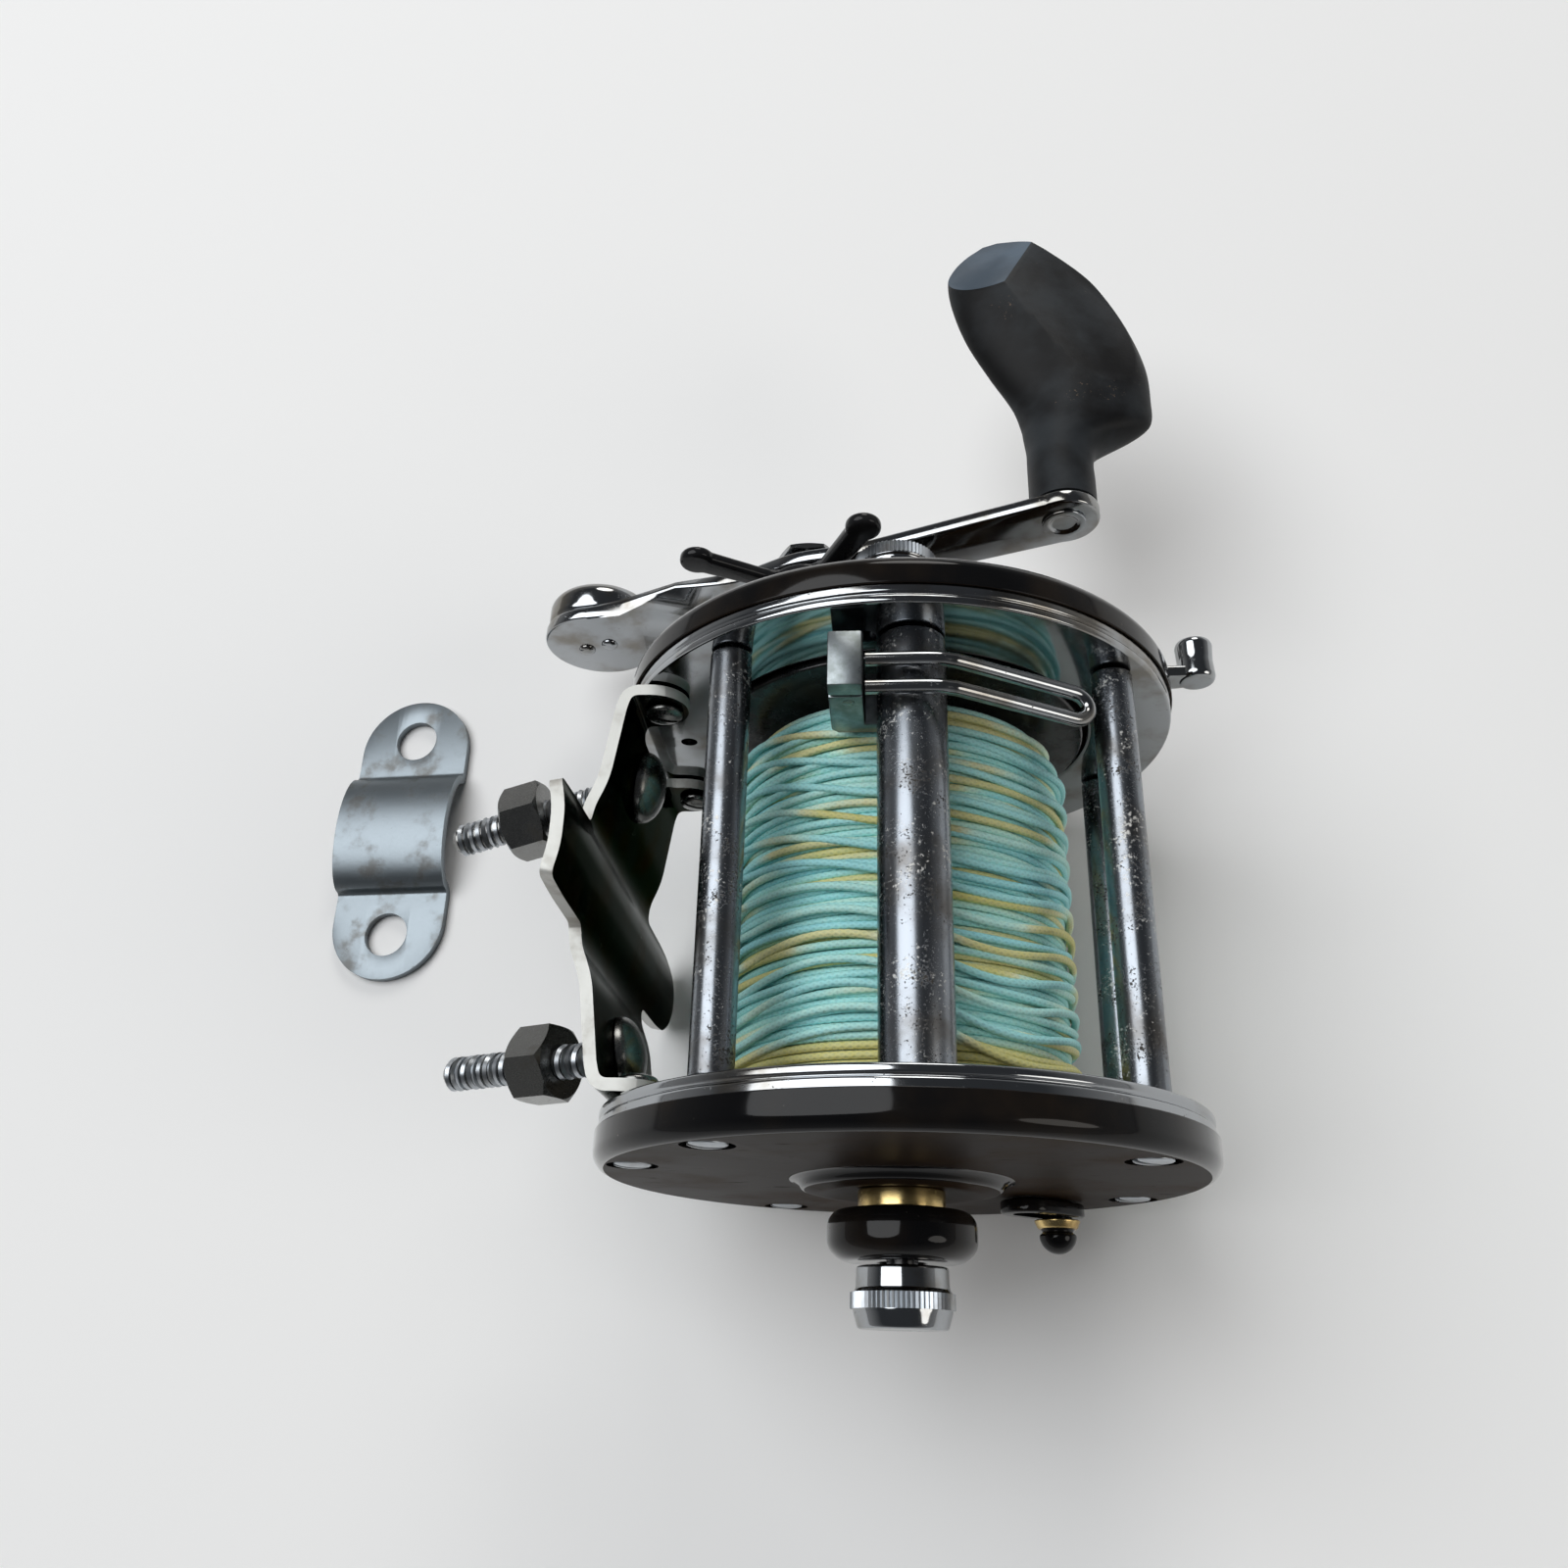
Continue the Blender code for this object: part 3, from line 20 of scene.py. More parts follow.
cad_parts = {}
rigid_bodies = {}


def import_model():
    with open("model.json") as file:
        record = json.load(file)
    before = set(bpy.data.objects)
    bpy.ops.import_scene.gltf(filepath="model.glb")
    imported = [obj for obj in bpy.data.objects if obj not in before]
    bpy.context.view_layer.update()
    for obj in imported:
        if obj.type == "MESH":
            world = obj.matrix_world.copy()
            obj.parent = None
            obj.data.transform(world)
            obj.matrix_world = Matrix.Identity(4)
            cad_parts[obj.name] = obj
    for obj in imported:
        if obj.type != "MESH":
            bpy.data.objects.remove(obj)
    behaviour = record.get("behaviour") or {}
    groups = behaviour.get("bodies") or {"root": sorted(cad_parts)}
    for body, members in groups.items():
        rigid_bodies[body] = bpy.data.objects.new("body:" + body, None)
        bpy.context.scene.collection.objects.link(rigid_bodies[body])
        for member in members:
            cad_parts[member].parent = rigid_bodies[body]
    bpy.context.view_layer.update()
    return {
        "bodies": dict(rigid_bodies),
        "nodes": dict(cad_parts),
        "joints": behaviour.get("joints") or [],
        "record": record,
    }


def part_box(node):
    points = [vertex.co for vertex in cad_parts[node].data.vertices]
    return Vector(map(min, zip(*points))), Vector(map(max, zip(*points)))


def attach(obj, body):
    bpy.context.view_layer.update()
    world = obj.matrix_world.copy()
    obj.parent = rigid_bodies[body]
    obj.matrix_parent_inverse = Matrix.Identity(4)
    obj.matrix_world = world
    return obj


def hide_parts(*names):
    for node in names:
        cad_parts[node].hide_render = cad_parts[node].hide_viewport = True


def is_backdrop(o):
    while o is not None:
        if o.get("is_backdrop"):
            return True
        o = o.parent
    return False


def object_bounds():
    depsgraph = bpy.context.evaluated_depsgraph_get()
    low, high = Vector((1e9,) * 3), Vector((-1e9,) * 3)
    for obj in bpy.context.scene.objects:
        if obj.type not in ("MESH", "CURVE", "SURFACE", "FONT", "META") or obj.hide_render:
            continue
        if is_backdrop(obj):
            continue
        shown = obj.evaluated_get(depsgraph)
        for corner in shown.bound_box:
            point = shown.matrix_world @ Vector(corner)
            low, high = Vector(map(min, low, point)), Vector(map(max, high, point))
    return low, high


Triple = tuple[float, float, float]
Colour = Triple
Point = tuple[float, float]
Outline = list[Point]
Shape = bmesh.types.BMesh
Tool = tuple[str, Shape]
LOG = logging.getLogger("reel")
MM = 0.001
POST_PLACES = ("front_lower", "front_upper", "rear_upper", "rear_lower")
ORIGIN: Point = (0.0, 0.0)
Y_AXIS = Vector((0.0, 1.0, 0.0))
Z_TO_Y = Matrix.Rotation(math.radians(-90.0), 4, "X")

# Clearance between pieces, as in the CAD.
GAP = 0.3
# How far a cutting shape stands out past what it cuts.
PAST = 1.0
# Below this, a radius counts as a point on the axis.
TINY = 1e-6
# The most of a side that the rounding at one of its ends may take.
EASE_SHARE = 0.45
# Faces round a large turned piece.
FINE = 128
# Sizes that more than one sub-assembly needs.
SHAFT_BORE = 2.1
CRANK_BORE = 3.3
CLICK_SLOT_HALF = 2.5
CLICK_SLOT_RADIUS = 1.9
SCREW_SLOT_DEPTH = 0.62


class Side(Enum):
    """The two ends of the spool."""

    LEFT = "left"
    RIGHT = "right"

    @property
    def sign(self) -> float:
        """Direction along Y: +1 on the handle side."""
        return 1.0 if self is Side.RIGHT else -1.0

    def turned(self, profile: Outline) -> Outline:
        """A profile of (radius, distance from the reel's middle) points, set on this side."""
        return [(radius, self.sign * y) for radius, y in profile]


class Coat(Enum):
    """The finishes, each with the record's material slot and a word of its own."""

    CHROME = ("chrome", "bright")
    PITTED = ("chrome", "pitted")
    STAND = ("chrome", "stand")
    EDGE = ("chrome", "edge")
    BLACK = ("black", "moulding")
    STAR = ("black", "star")
    GRIP = ("grip", "paddle")
    ZINC = ("zinc", "plate")
    CARRIAGE = ("zinc", "carriage")
    STRAP = ("zinc", "strap")
    STEEL = ("steel", "worn")
    BRASS = ("brass", "plain")
    SPOOL = ("spool", "dark")
    LINE = ("line", "braid")
    UNDER = ("line_under", "packed")
    FIBRE = ("fibre", "washer")

    @property
    def slot(self) -> str:
        """The record's slot that this finish belongs to."""
        return self.value[0]


class Sock:
    """A node's output that Python arithmetic can use."""

    def __init__(self, graph: Graph, socket: bpy.types.NodeSocket | None) -> None:
        """Keep the graph that new nodes go to, and the socket."""
        self.graph = graph
        self.socket = socket

    def _maths(self, operation: str, *values: Any) -> Sock:
        """Add a Math node on these values."""
        return self.graph.add("ShaderNodeMath", {"operation": operation}, dict(enumerate(values)))

    def __add__(self, other: Any) -> Sock:
        """Sum."""
        return self._maths("ADD", self, other)

    __radd__ = __add__

    def __sub__(self, other: Any) -> Sock:
        """Difference."""
        return self._maths("SUBTRACT", self, other)

    def __rsub__(self, other: Any) -> Sock:
        """Difference, the other way round."""
        return self._maths("SUBTRACT", other, self)

    def __mul__(self, other: Any) -> Sock:
        """Product."""
        return self._maths("MULTIPLY", self, other)

    def most(self, other: Any) -> Sock:
        """The larger of two values."""
        return self._maths("MAXIMUM", self, other)

    def wave(self) -> Sock:
        """The size of this value's sine, from 0 to 1."""
        return self._maths("ABSOLUTE", self._maths("SINE", self))

    def step(self, low: float, high: float) -> Sock:
        """A smooth step from 0 at low to 1 at high."""
        sockets = {"Value": self, "From Min": low, "From Max": high}
        return self.graph.add("ShaderNodeMapRange", {"interpolation_type": "SMOOTHSTEP"}, sockets)


class Graph:
    """The node tree of a material or of the world."""

    def __init__(self, owner: bpy.types.Material | bpy.types.World) -> None:
        """Empty the owner's tree.

        Args:
            owner: The material or the world.
        """
        self.owner = owner
        owner.use_nodes = True
        self.tree = owner.node_tree
        self.tree.nodes.clear()

    @classmethod
    def of_material(cls, name: str) -> Graph:
        """Start a new material of that name."""
        return cls(bpy.data.materials.new(name))

    def add(
        self, kind: str, settings: Mapping[str, Any] | None = None,
        sockets: Mapping[Any, Any] | None = None, out: Any = 0,
    ) -> Sock:
        """Add a node.

        Args:
            kind: The node's type.
            settings: Its settings, set first; stops are a ramp's places and colours.
            sockets: The values or links of its sockets.
            out: Which output to hand back.

        Returns:
            The node's output.
        """
        node = self.tree.nodes.new(kind)
        for key, value in (settings or {}).items():
            if key == "stops":
                ramp = node.color_ramp.elements
                while len(ramp) < len(value):
                    ramp.new(1.0)
                for stop, (place, colour) in zip(ramp, value):
                    stop.position = place
                    stop.color = (*colour, 1.0)
            else:
                setattr(node, key, value)
        for key, value in (sockets or {}).items():
            socket = node.inputs[key]
            if isinstance(value, Sock):
                self.tree.links.new(value.socket, socket)
            elif socket.type == "RGBA" and len(value) == 3:
                socket.default_value = (*value, 1.0)
            else:
                socket.default_value = value
        return Sock(self, node.outputs[out] if node.outputs else None)

    def place(self) -> Sock:
        """The point on the piece, in millimetres."""
        here = self.add("ShaderNodeTexCoord", out="Object")
        return self.add("ShaderNodeVectorMath", {"operation": "SCALE"}, {0: here, "Scale": 1.0 / MM})

    def attribute(self, name: str) -> Sock:
        """A value that the piece's mesh carries."""
        return self.add("ShaderNodeAttribute", {"attribute_name": name}, out="Fac")

    def noise(self, at: Sock, scale: float, detail: float = 3.0, roughness: float = 0.55) -> Sock:
        """Cloudy noise, with its scale in features per millimetre."""
        sockets = {"Vector": at, "Scale": scale, "Detail": detail, "Roughness": roughness}
        return self.add("ShaderNodeTexNoise", None, sockets)

    def mix(self, share: Any, first: Any, second: Any) -> Sock:
        """Blend two colours."""
        return self.add("ShaderNodeMix", {"data_type": "RGBA"}, {0: share, 6: first, 7: second}, 2)

    def bump(self, height: Sock, strength: float, depth: float) -> Sock:
        """A normal from a height, its depth in millimetres."""
        sockets = {"Height": height, "Strength": strength, "Distance": depth * MM}
        return self.add("ShaderNodeBump", None, sockets)

    def surface(self, **sockets: Any) -> bpy.types.Material:
        """Close a material's tree with a Principled shader.

        Args:
            sockets: Its inputs, with spaces written as underscores.

        Returns:
            The material.
        """
        named = {key.replace("_", " "): value for key, value in sockets.items()}
        shader = self.add("ShaderNodeBsdfPrincipled", None, named)
        self.add("ShaderNodeOutputMaterial", None, {"Surface": shader})
        return self.owner


class Finish(Protocol):
    """Anything that can make a material."""

    def make(self) -> bpy.types.Material:
        """Build the material."""


@dataclass(frozen=True)
class AgedChrome:
    """Old chrome plate: hazy patches, dark pits in clusters and pale blooms of corrosion."""

    name: str
    bright: Colour = (0.38, 0.395, 0.41)
    dull: Colour = (0.23, 0.215, 0.19)
    pit: Colour = (0.045, 0.04, 0.035)
    bloom: Colour = (0.78, 0.77, 0.73)
    pitting: float = 0.4
    blooming: float = 0.3
    gloss: float = 0.09
    glance: Colour = (0.9, 0.9, 0.9)
    haze_scale: float = 0.13
    patch_scale: float = 0.28
    pit_scale: float = 3.1
    bloom_scale: float = 2.1
    pit_depth: float = 0.05

    def make(self) -> bpy.types.Material:
        """Build the material."""
        graph = Graph.of_material(self.name)
        at = graph.place()
        haze = graph.noise(at, self.haze_scale, 4.0).step(0.44, 0.72)
        patch = graph.noise(at, self.patch_scale, 3.0)
        grain = graph.noise(at, self.pit_scale, 4.0, 0.65)
        edge = 1.06 - 0.22 * self.pitting
        pits = (grain + patch * 0.55).step(edge, edge + 0.06)
        fleck = graph.noise(at, self.bloom_scale, 5.0, 0.7)
        edge = 1.08 - 0.22 * self.blooming
        blooms = (fleck + graph.noise(at, 0.2, 2.0) * 0.6).step(edge, edge + 0.10)
        colour = graph.mix(haze, self.bright, self.dull)
        colour = graph.mix(blooms * 0.8, colour, self.bloom)
        colour = graph.mix(pits, colour, self.pit)
        rough = self.gloss + haze * 0.08 + blooms * 0.30 + pits * 0.35
        metal = 1 - pits * 0.5 - blooms * 0.35
        normal = graph.bump(1 - pits - blooms * 0.3, 0.35, self.pit_depth)
        return graph.surface(
            Base_Color=colour, Roughness=rough, Metallic=metal, Specular_Tint=self.glance, Normal=normal,
        )


@dataclass(frozen=True)
class Moulding:
    """Glossy black moulding with brown blotches, scratches and dust; a flat face has no coat and a painted
    brown reflection.
    """

    name: str
    deep: Colour = (0.005, 0.005, 0.0055)
    worn: Colour = (0.015, 0.011, 0.008)
    dust: Colour = (0.30, 0.28, 0.25)
    # Painted brown reflection, mixed into the flat faces' colour.
    painted_brown_reflection: Colour = (0.034, 0.018, 0.008)
    gloss: float = 0.12
    coat: float = 0.85
    blotch_scale: float = 0.09
    scratch_scale: float = 0.8
    scratch_stretch: Triple = (0.25, 2.4, 0.9)
    dust_scale: float = 0.55

    def make(self) -> bpy.types.Material:
        """Build the material."""
        graph = Graph.of_material(self.name)
        at = graph.place()
        blotch = graph.noise(at, self.blotch_scale, 4.0).step(0.4, 0.75)
        axes = {0: at, 1: self.scratch_stretch}
        drawn = graph.add("ShaderNodeVectorMath", {"operation": "MULTIPLY"}, axes)
        streak = graph.noise(drawn, self.scratch_scale, 4.0, 0.6).step(0.62, 0.74)
        grid = {"Vector": at, "Scale": self.dust_scale}
        specks = 1 - graph.add("ShaderNodeTexVoronoi", None, grid, "Distance").step(0.03, 0.07)
        specks = specks * graph.noise(at, 0.15, 2.0).step(0.5, 0.68)
        colour = graph.mix(blotch, self.deep, self.worn)
        colour = graph.mix(specks * 0.5, colour, self.dust)
        rough = self.gloss + blotch * 0.10 + streak * 0.16 + specks * 0.3
        normal = graph.bump(graph.noise(at, 0.35, 2.0) + specks * 0.2, 0.10, 0.10)
        # Flat faces: rougher, no coat, and a painted brown reflection in their colour.
        matt = graph.attribute("matt")
        colour = graph.mix(matt * (blotch * 0.5 + 0.35), colour, self.painted_brown_reflection)
        return graph.surface(
            Base_Color=colour, Roughness=rough + matt * 0.26, Specular_IOR_Level=0.03,
            Coat_Weight=self.coat - matt * self.coat, Coat_Roughness=0.07, Coat_IOR=1.28, Normal=normal,
        )


@dataclass(frozen=True)
class Paddle:
    """Matt black grip, rubbed paler in patches, with brown specks and a grain, and a painted highlight on
    its cut facet.
    """

    name: str
    body: Colour = (0.005, 0.005, 0.0055)
    rubbed: Colour = (0.026, 0.030, 0.034)
    speck: Colour = (0.14, 0.10, 0.07)
    # Painted highlight: the cut facet's pale blue-grey.
    cut: Colour = (0.105, 0.140, 0.180)
    gloss: float = 0.40
    rub_scale: float = 0.07
    grain_scale: float = 2.4
    speck_scale: float = 1.5

    def make(self) -> bpy.types.Material:
        """Build the material."""
        graph = Graph.of_material(self.name)
        at = graph.place()
        rub = graph.noise(at, self.rub_scale, 4.0).step(0.42, 0.72)
        grain = graph.noise(at, self.grain_scale, 3.0, 0.6)
        dirt = graph.noise(at, self.speck_scale, 4.0, 0.75) + graph.noise(at, 0.11, 2.0) * 0.6
        colour = graph.mix(rub, self.body, self.rubbed)
        # The cut facet takes a painted highlight in pale blue-grey.
        flat = graph.attribute("matt")
        colour = graph.mix(flat * (rub * 0.4 + 0.6), colour, self.cut)
        colour = graph.mix(dirt.step(1.02, 1.10) * 0.8, colour, self.speck)
        rough = self.gloss + rub * 0.08 + grain * 0.10
        normal = graph.bump(grain + graph.noise(at, 0.5, 2.0), 0.12, 0.10)
        return graph.surface(Base_Color=colour, Roughness=rough, Specular_IOR_Level=0.17, Normal=normal)


@dataclass(frozen=True)
class Plated:
    """A plated or uncoated metal with stains and a fine grain."""

    name: str
    clean: Colour
    stained: Colour
    gloss: float
    stain_from: float = 0.45
    grain_depth: float = 0.02
    metal: float = 1.0
    stain_scale: float = 0.22
    grain_scale: float = 2.8
    spot_scale: float = 1.1

    def make(self) -> bpy.types.Material:
        """Build the material."""
        graph = Graph.of_material(self.name)
        at = graph.place()
        stain = graph.noise(at, self.stain_scale, 5.0, 0.6).step(self.stain_from, self.stain_from + 0.28)
        grain = graph.noise(at, self.grain_scale, 4.0, 0.7)
        spots = graph.noise(at, self.spot_scale, 4.0, 0.7).step(0.66, 0.74)
        colour = graph.mix((stain + spots * 0.6).step(0.0, 1.2), self.clean, self.stained)
        rough = self.gloss + stain * 0.10 + grain * 0.12 + spots * 0.12
        normal = graph.bump(grain, 0.25, self.grain_depth)
        return graph.surface(Base_Color=colour, Roughness=rough, Metallic=self.metal, Normal=normal)


@dataclass(frozen=True)
class Braid:
    """Variegated braided line: the tint attribute picks the dye, the UV map lays the plaits."""

    name: str
    dyes: tuple[tuple[float, Colour], ...] = (
        (0.0, (0.28, 0.72, 0.84)), (0.25, (0.42, 0.82, 0.80)), (0.5, (0.66, 0.90, 0.74)),
        (0.72, (0.78, 0.76, 0.44)), (1.0, (0.68, 0.63, 0.20)),
    )
    shadow: Colour = (0.05, 0.16, 0.16)
    shadow_share: float = 0.24
    plaits: float = 4.0
    stitch: float = 0.9
    plait_depth: float = 0.12
    dye_scale: float = 1.6
    shade_scale: float = 0.4

    def make(self) -> bpy.types.Material:
        """Build the material."""
        graph = Graph.of_material(self.name)
        lay = graph.add("ShaderNodeUVMap", {"uv_map": "lay"})
        along = graph.add("ShaderNodeSeparateXYZ", None, {0: lay}, "X")
        around = graph.add("ShaderNodeSeparateXYZ", None, {0: lay}, "Y")
        turn = around * (math.pi * self.plaits)
        run = along * (math.pi / self.stitch)
        plait = (run + turn).wave().most((run - turn).wave())
        at = graph.place()
        tint = graph.attribute("tint") + (graph.noise(at, self.dye_scale, 3.0) - 0.5) * 0.25
        dye = graph.add("ShaderNodeValToRGB", {"stops": self.dyes}, {"Fac": tint})
        shade = plait.step(0.55, 1.0) * 0.6 + graph.noise(at, self.shade_scale, 3.0).step(0.2, 0.8) * 0.4
        dark = graph.mix(self.shadow_share, dye, self.shadow)
        colour = graph.mix(shade, dark, dye)
        normal = graph.bump(plait, 0.5, self.plait_depth)
        return graph.surface(Base_Color=colour, Roughness=0.55 + shade * 0.15, Normal=normal)


FINISHES: dict[Coat, Finish] = {
    Coat.CHROME: AgedChrome("bright_chrome", pitting=0.3, blooming=0.2, gloss=0.08),
    Coat.PITTED: AgedChrome(
        "pitted_chrome", (0.25, 0.27, 0.295), (0.13, 0.125, 0.12), pitting=0.8, blooming=0.75, gloss=0.24,
    ),
    # The stand's chrome is a near-black copy of the chrome: a painted dark reflection, with pits and blooms.
    Coat.STAND: AgedChrome(
        "stand_chrome", (0.062, 0.066, 0.062), (0.066, 0.054, 0.040), pitting=0.35, blooming=0.2, gloss=0.12,
        glance=(0.30, 0.31, 0.30),
    ),
    # The cut edges: a satin finish whose pale, half-metallic colour is a painted highlight.
    Coat.EDGE: Plated("cut_edge", (0.57, 0.57, 0.54), (0.42, 0.40, 0.36), 0.40, metal=0.45),
    Coat.BLACK: Moulding("black_moulding"),
    Coat.STAR: Moulding("star_black", deep=(0.012, 0.012, 0.013), worn=(0.03, 0.03, 0.031), gloss=0.2),
    Coat.GRIP: Paddle("grip_black"),
    Coat.ZINC: Plated("zinc_plate", (0.43, 0.455, 0.48), (0.32, 0.315, 0.31), 0.27),
    # The strap: a darker copy of the zinc plate, a painted dark reflection, with stains and grain.
    Coat.STRAP: Plated("strap_zinc", (0.215, 0.245, 0.265), (0.15, 0.152, 0.148), 0.33, 0.44, 0.05),
    Coat.CARRIAGE: Plated("carriage_zinc", (0.30, 0.33, 0.345), (0.17, 0.19, 0.185), 0.22, 0.38, 0.05),
    Coat.STEEL: Plated("worn_steel", (0.20, 0.20, 0.192), (0.12, 0.108, 0.088), 0.20, 0.5),
    Coat.BRASS: Plated("brass", (0.74, 0.55, 0.24), (0.40, 0.27, 0.11), 0.16, 0.5),
    Coat.SPOOL: Plated("spool_dark", (0.09, 0.09, 0.092), (0.045, 0.042, 0.04), 0.18, 0.4),
    Coat.LINE: Braid("line_braid"),
    Coat.UNDER: Braid("line_packed", stitch=1.1),
    Coat.FIBRE: Plated("pressed_fibre", (0.20, 0.11, 0.06), (0.12, 0.06, 0.03), 0.7),
}


def eased(points: Outline, radius: float, closed: bool = False, steps: int = 5) -> Outline:
    """Round the corners of an outline.

    Args:
        points: Its corners.
        radius: How far back from a corner the rounding starts, at most.
        closed: Whether the outline closes on itself; an open one keeps its ends.
        steps: Points along each rounding.

    Returns:
        The rounded outline.
    """
    rounded: Outline = []
    count = len(points)
    for index, corner in enumerate(points):
        if not closed and index in (0, count - 1):
            rounded.append(corner)
            continue
        here = Vector(corner)
        before = Vector(points[index - 1]) - here
        after = Vector(points[(index + 1) % count]) - here
        reach = min(radius, EASE_SHARE * before.length, EASE_SHARE * after.length)
        start = here + before.normalized() * reach
        end = here + after.normalized() * reach
        for step in range(steps + 1):
            share = step / steps
            spot = start.lerp(here, share).lerp(here.lerp(end, share), share)
            rounded.append((spot.x, spot.y))
    return rounded


def polar(radius: float, degrees: float, centre: Point = ORIGIN) -> Point:
    """The (X, Z) point at a radius and an angle round a centre."""
    angle = math.radians(degrees)
    return centre[0] + radius * math.cos(angle), centre[1] + radius * math.sin(angle)


def arc(radius: float, start: float, stop: float, steps: int, centre: Point = ORIGIN) -> Outline:
    """Points along an arc, both ends included."""
    return [polar(radius, start + (stop - start) * k / steps, centre) for k in range(steps + 1)]


def circle(radius: float, centre: Point = ORIGIN, sides: int = 24) -> Outline:
    """The corners of a circle."""
    return [polar(radius, 360.0 * k / sides, centre) for k in range(sides)]


def crown(radius: float, base: float, rise: float, steps: int) -> Outline:
    """A dome's (radius, y) profile, from its rim to its pole."""
    angles = [math.pi / 2 * k / steps for k in range(steps)]
    return [(radius * math.cos(a), base + rise * math.sin(a)) for a in angles] + [(0.0, base + rise)]


def moved(points: Outline, centre: Point) -> Outline:
    """An outline set round a centre."""
    return [(x + centre[0], z + centre[1]) for x, z in points]


def rotated(points: Outline, degrees: float) -> Outline:
    """An outline turned about its own origin."""
    c, s = math.cos(math.radians(degrees)), math.sin(math.radians(degrees))
    return [(x * c - z * s, x * s + z * c) for x, z in points]


def stadium(half: float, radius: float, degrees: float = 0.0, steps: int = 14) -> Outline:
    """A round-ended slot's outline, its long way at an angle."""
    points = arc(radius, -90.0, 90.0, steps, (half, 0.0)) + arc(radius, 90.0, 270.0, steps, (-half, 0.0))
    return rotated(points, degrees)


def hermite(t: float) -> Triple:
    """The shares of a cubic's far end, its first slope and its last slope, at t from 0 to 1."""
    return 3 * t * t - 2 * t ** 3, t - 2 * t * t + t ** 3, t ** 3 - t * t


def lathe(profile: Outline, sides: int = 96, centre: Point = ORIGIN) -> Shape:
    """Spin an outline of (radius, y) points round an axis along Y.

    Args:
        profile: The outline; it starts and ends on the axis, or closes on itself.
        sides: Faces round the axis.
        centre: The axis's X and Z.

    Returns:
        A closed shape.
    """
    work = bmesh.new()
    rings = []
    for radius, y in profile:
        spots = [centre] if radius < TINY else circle(radius, centre, sides)
        rings.append([work.verts.new((x, y, z)) for x, z in spots])
    for low, high in zip(rings, rings[1:] + rings[:1]):
        for k in range(sides):
            after = k + 1
            corners = [low[k % len(low)], low[after % len(low)]]
            corners += [high[after % len(high)], high[k % len(high)]]
            unique = list(dict.fromkeys(corners))
            if len(unique) > 2:
                work.faces.new(unique)
    bmesh.ops.recalc_face_normals(work, faces=work.faces[:])
    return work


def prism(outline: Outline, low: float, high: float, soft: float = 0.0, segments: int = 3) -> Shape:
    """Extrude an (X, Z) outline along Y and soften its edges.

    Args:
        outline: The closed outline.
        low: Where it starts along Y.
        high: Where it ends.
        soft: Width of the rounding on its edges, or 0.
        segments: Faces across the rounding.

    Returns:
        A closed shape.
    """
    work = bmesh.new()
    base = work.faces.new([work.verts.new((x, low, z)) for x, z in outline])
    grown = bmesh.ops.extrude_face_region(work, geom=[base])
    top = [item for item in grown["geom"] if isinstance(item, bmesh.types.BMVert)]
    bmesh.ops.translate(work, vec=(0.0, high - low, 0.0), verts=top)
    bmesh.ops.recalc_face_normals(work, faces=work.faces[:])
    if soft > 0.0:
        soften(work, soft, segments, 40.0)
    return work


def soften(work: Shape, width: float, segments: int, angle: float) -> None:
    """Round the edges of a shape that turn by more than an angle, in degrees."""
    rims = [edge for edge in work.edges if edge.calc_face_angle(0.0) > math.radians(angle)]
    bmesh.ops.bevel(work, geom=rims, offset=width, segments=segments, profile=0.5, affect="EDGES")


def crease(work: Shape, spot: Sequence[float], way: Sequence[float], cut: bool = False) -> None:
    """Split a shape's faces along a plane, and take off what lies past it if it is a cut."""
    everything = work.verts[:] + work.edges[:] + work.faces[:]
    bmesh.ops.bisect_plane(work, geom=everything, plane_co=spot, plane_no=way, clear_outer=cut)


def drill(radius: float, low: float, high: float, centre: Point = ORIGIN, sides: int = 24) -> Tool:
    """A round hole along Y, as a tool that is cut out."""
    return "DIFFERENCE", prism(circle(radius, centre, sides), low, high)


def tube(
    points: Sequence[Vector], radius: float, sides: int, tints: Sequence[float] | None = None,
) -> Shape:
    """Sweep a circle along points, with a UV map of length along and share around.

    Args:
        points: The centreline.
        radius: The tube's radius.
        sides: Faces around.
        tints: A dye value for each point, kept as an attribute.

    Returns:
        A closed tube.
    """
    work = bmesh.new()
    lay = work.loops.layers.uv.new("lay")
    dye = work.verts.layers.float.new("tint")
    rings, runs = [], []
    run = 0.0
    across = Y_AXIS
    for index, point in enumerate(points):
        along = (points[min(index + 1, len(points) - 1)] - points[max(index - 1, 0)]).normalized()
        across = (across - along * across.dot(along)).normalized()
        other = along.cross(across)
        ring = []
        for k in range(sides):
            angle = 2 * math.pi * k / sides
            vertex = work.verts.new(point + (across * math.cos(angle) + other * math.sin(angle)) * radius)
            vertex[dye] = tints[index] if tints else 0.0
            ring.append(vertex)
        if index:
            run += (point - points[index - 1]).length
        rings.append(ring)
        runs.append(run)
    for index, (low, high) in enumerate(zip(rings, rings[1:])):
        for k in range(sides):
            after = (k + 1) % sides
            face = work.faces.new((low[k], low[after], high[after], high[k]))
            places = ((index, k), (index, k + 1), (index + 1, k + 1), (index + 1, k))
            for loop, (row, column) in zip(face.loops, places):
                loop[lay].uv = (runs[row], column / sides)
    work.faces.new(rings[0])
    work.faces.new(rings[-1])
    bmesh.ops.recalc_face_normals(work, faces=work.faces[:])
    return work


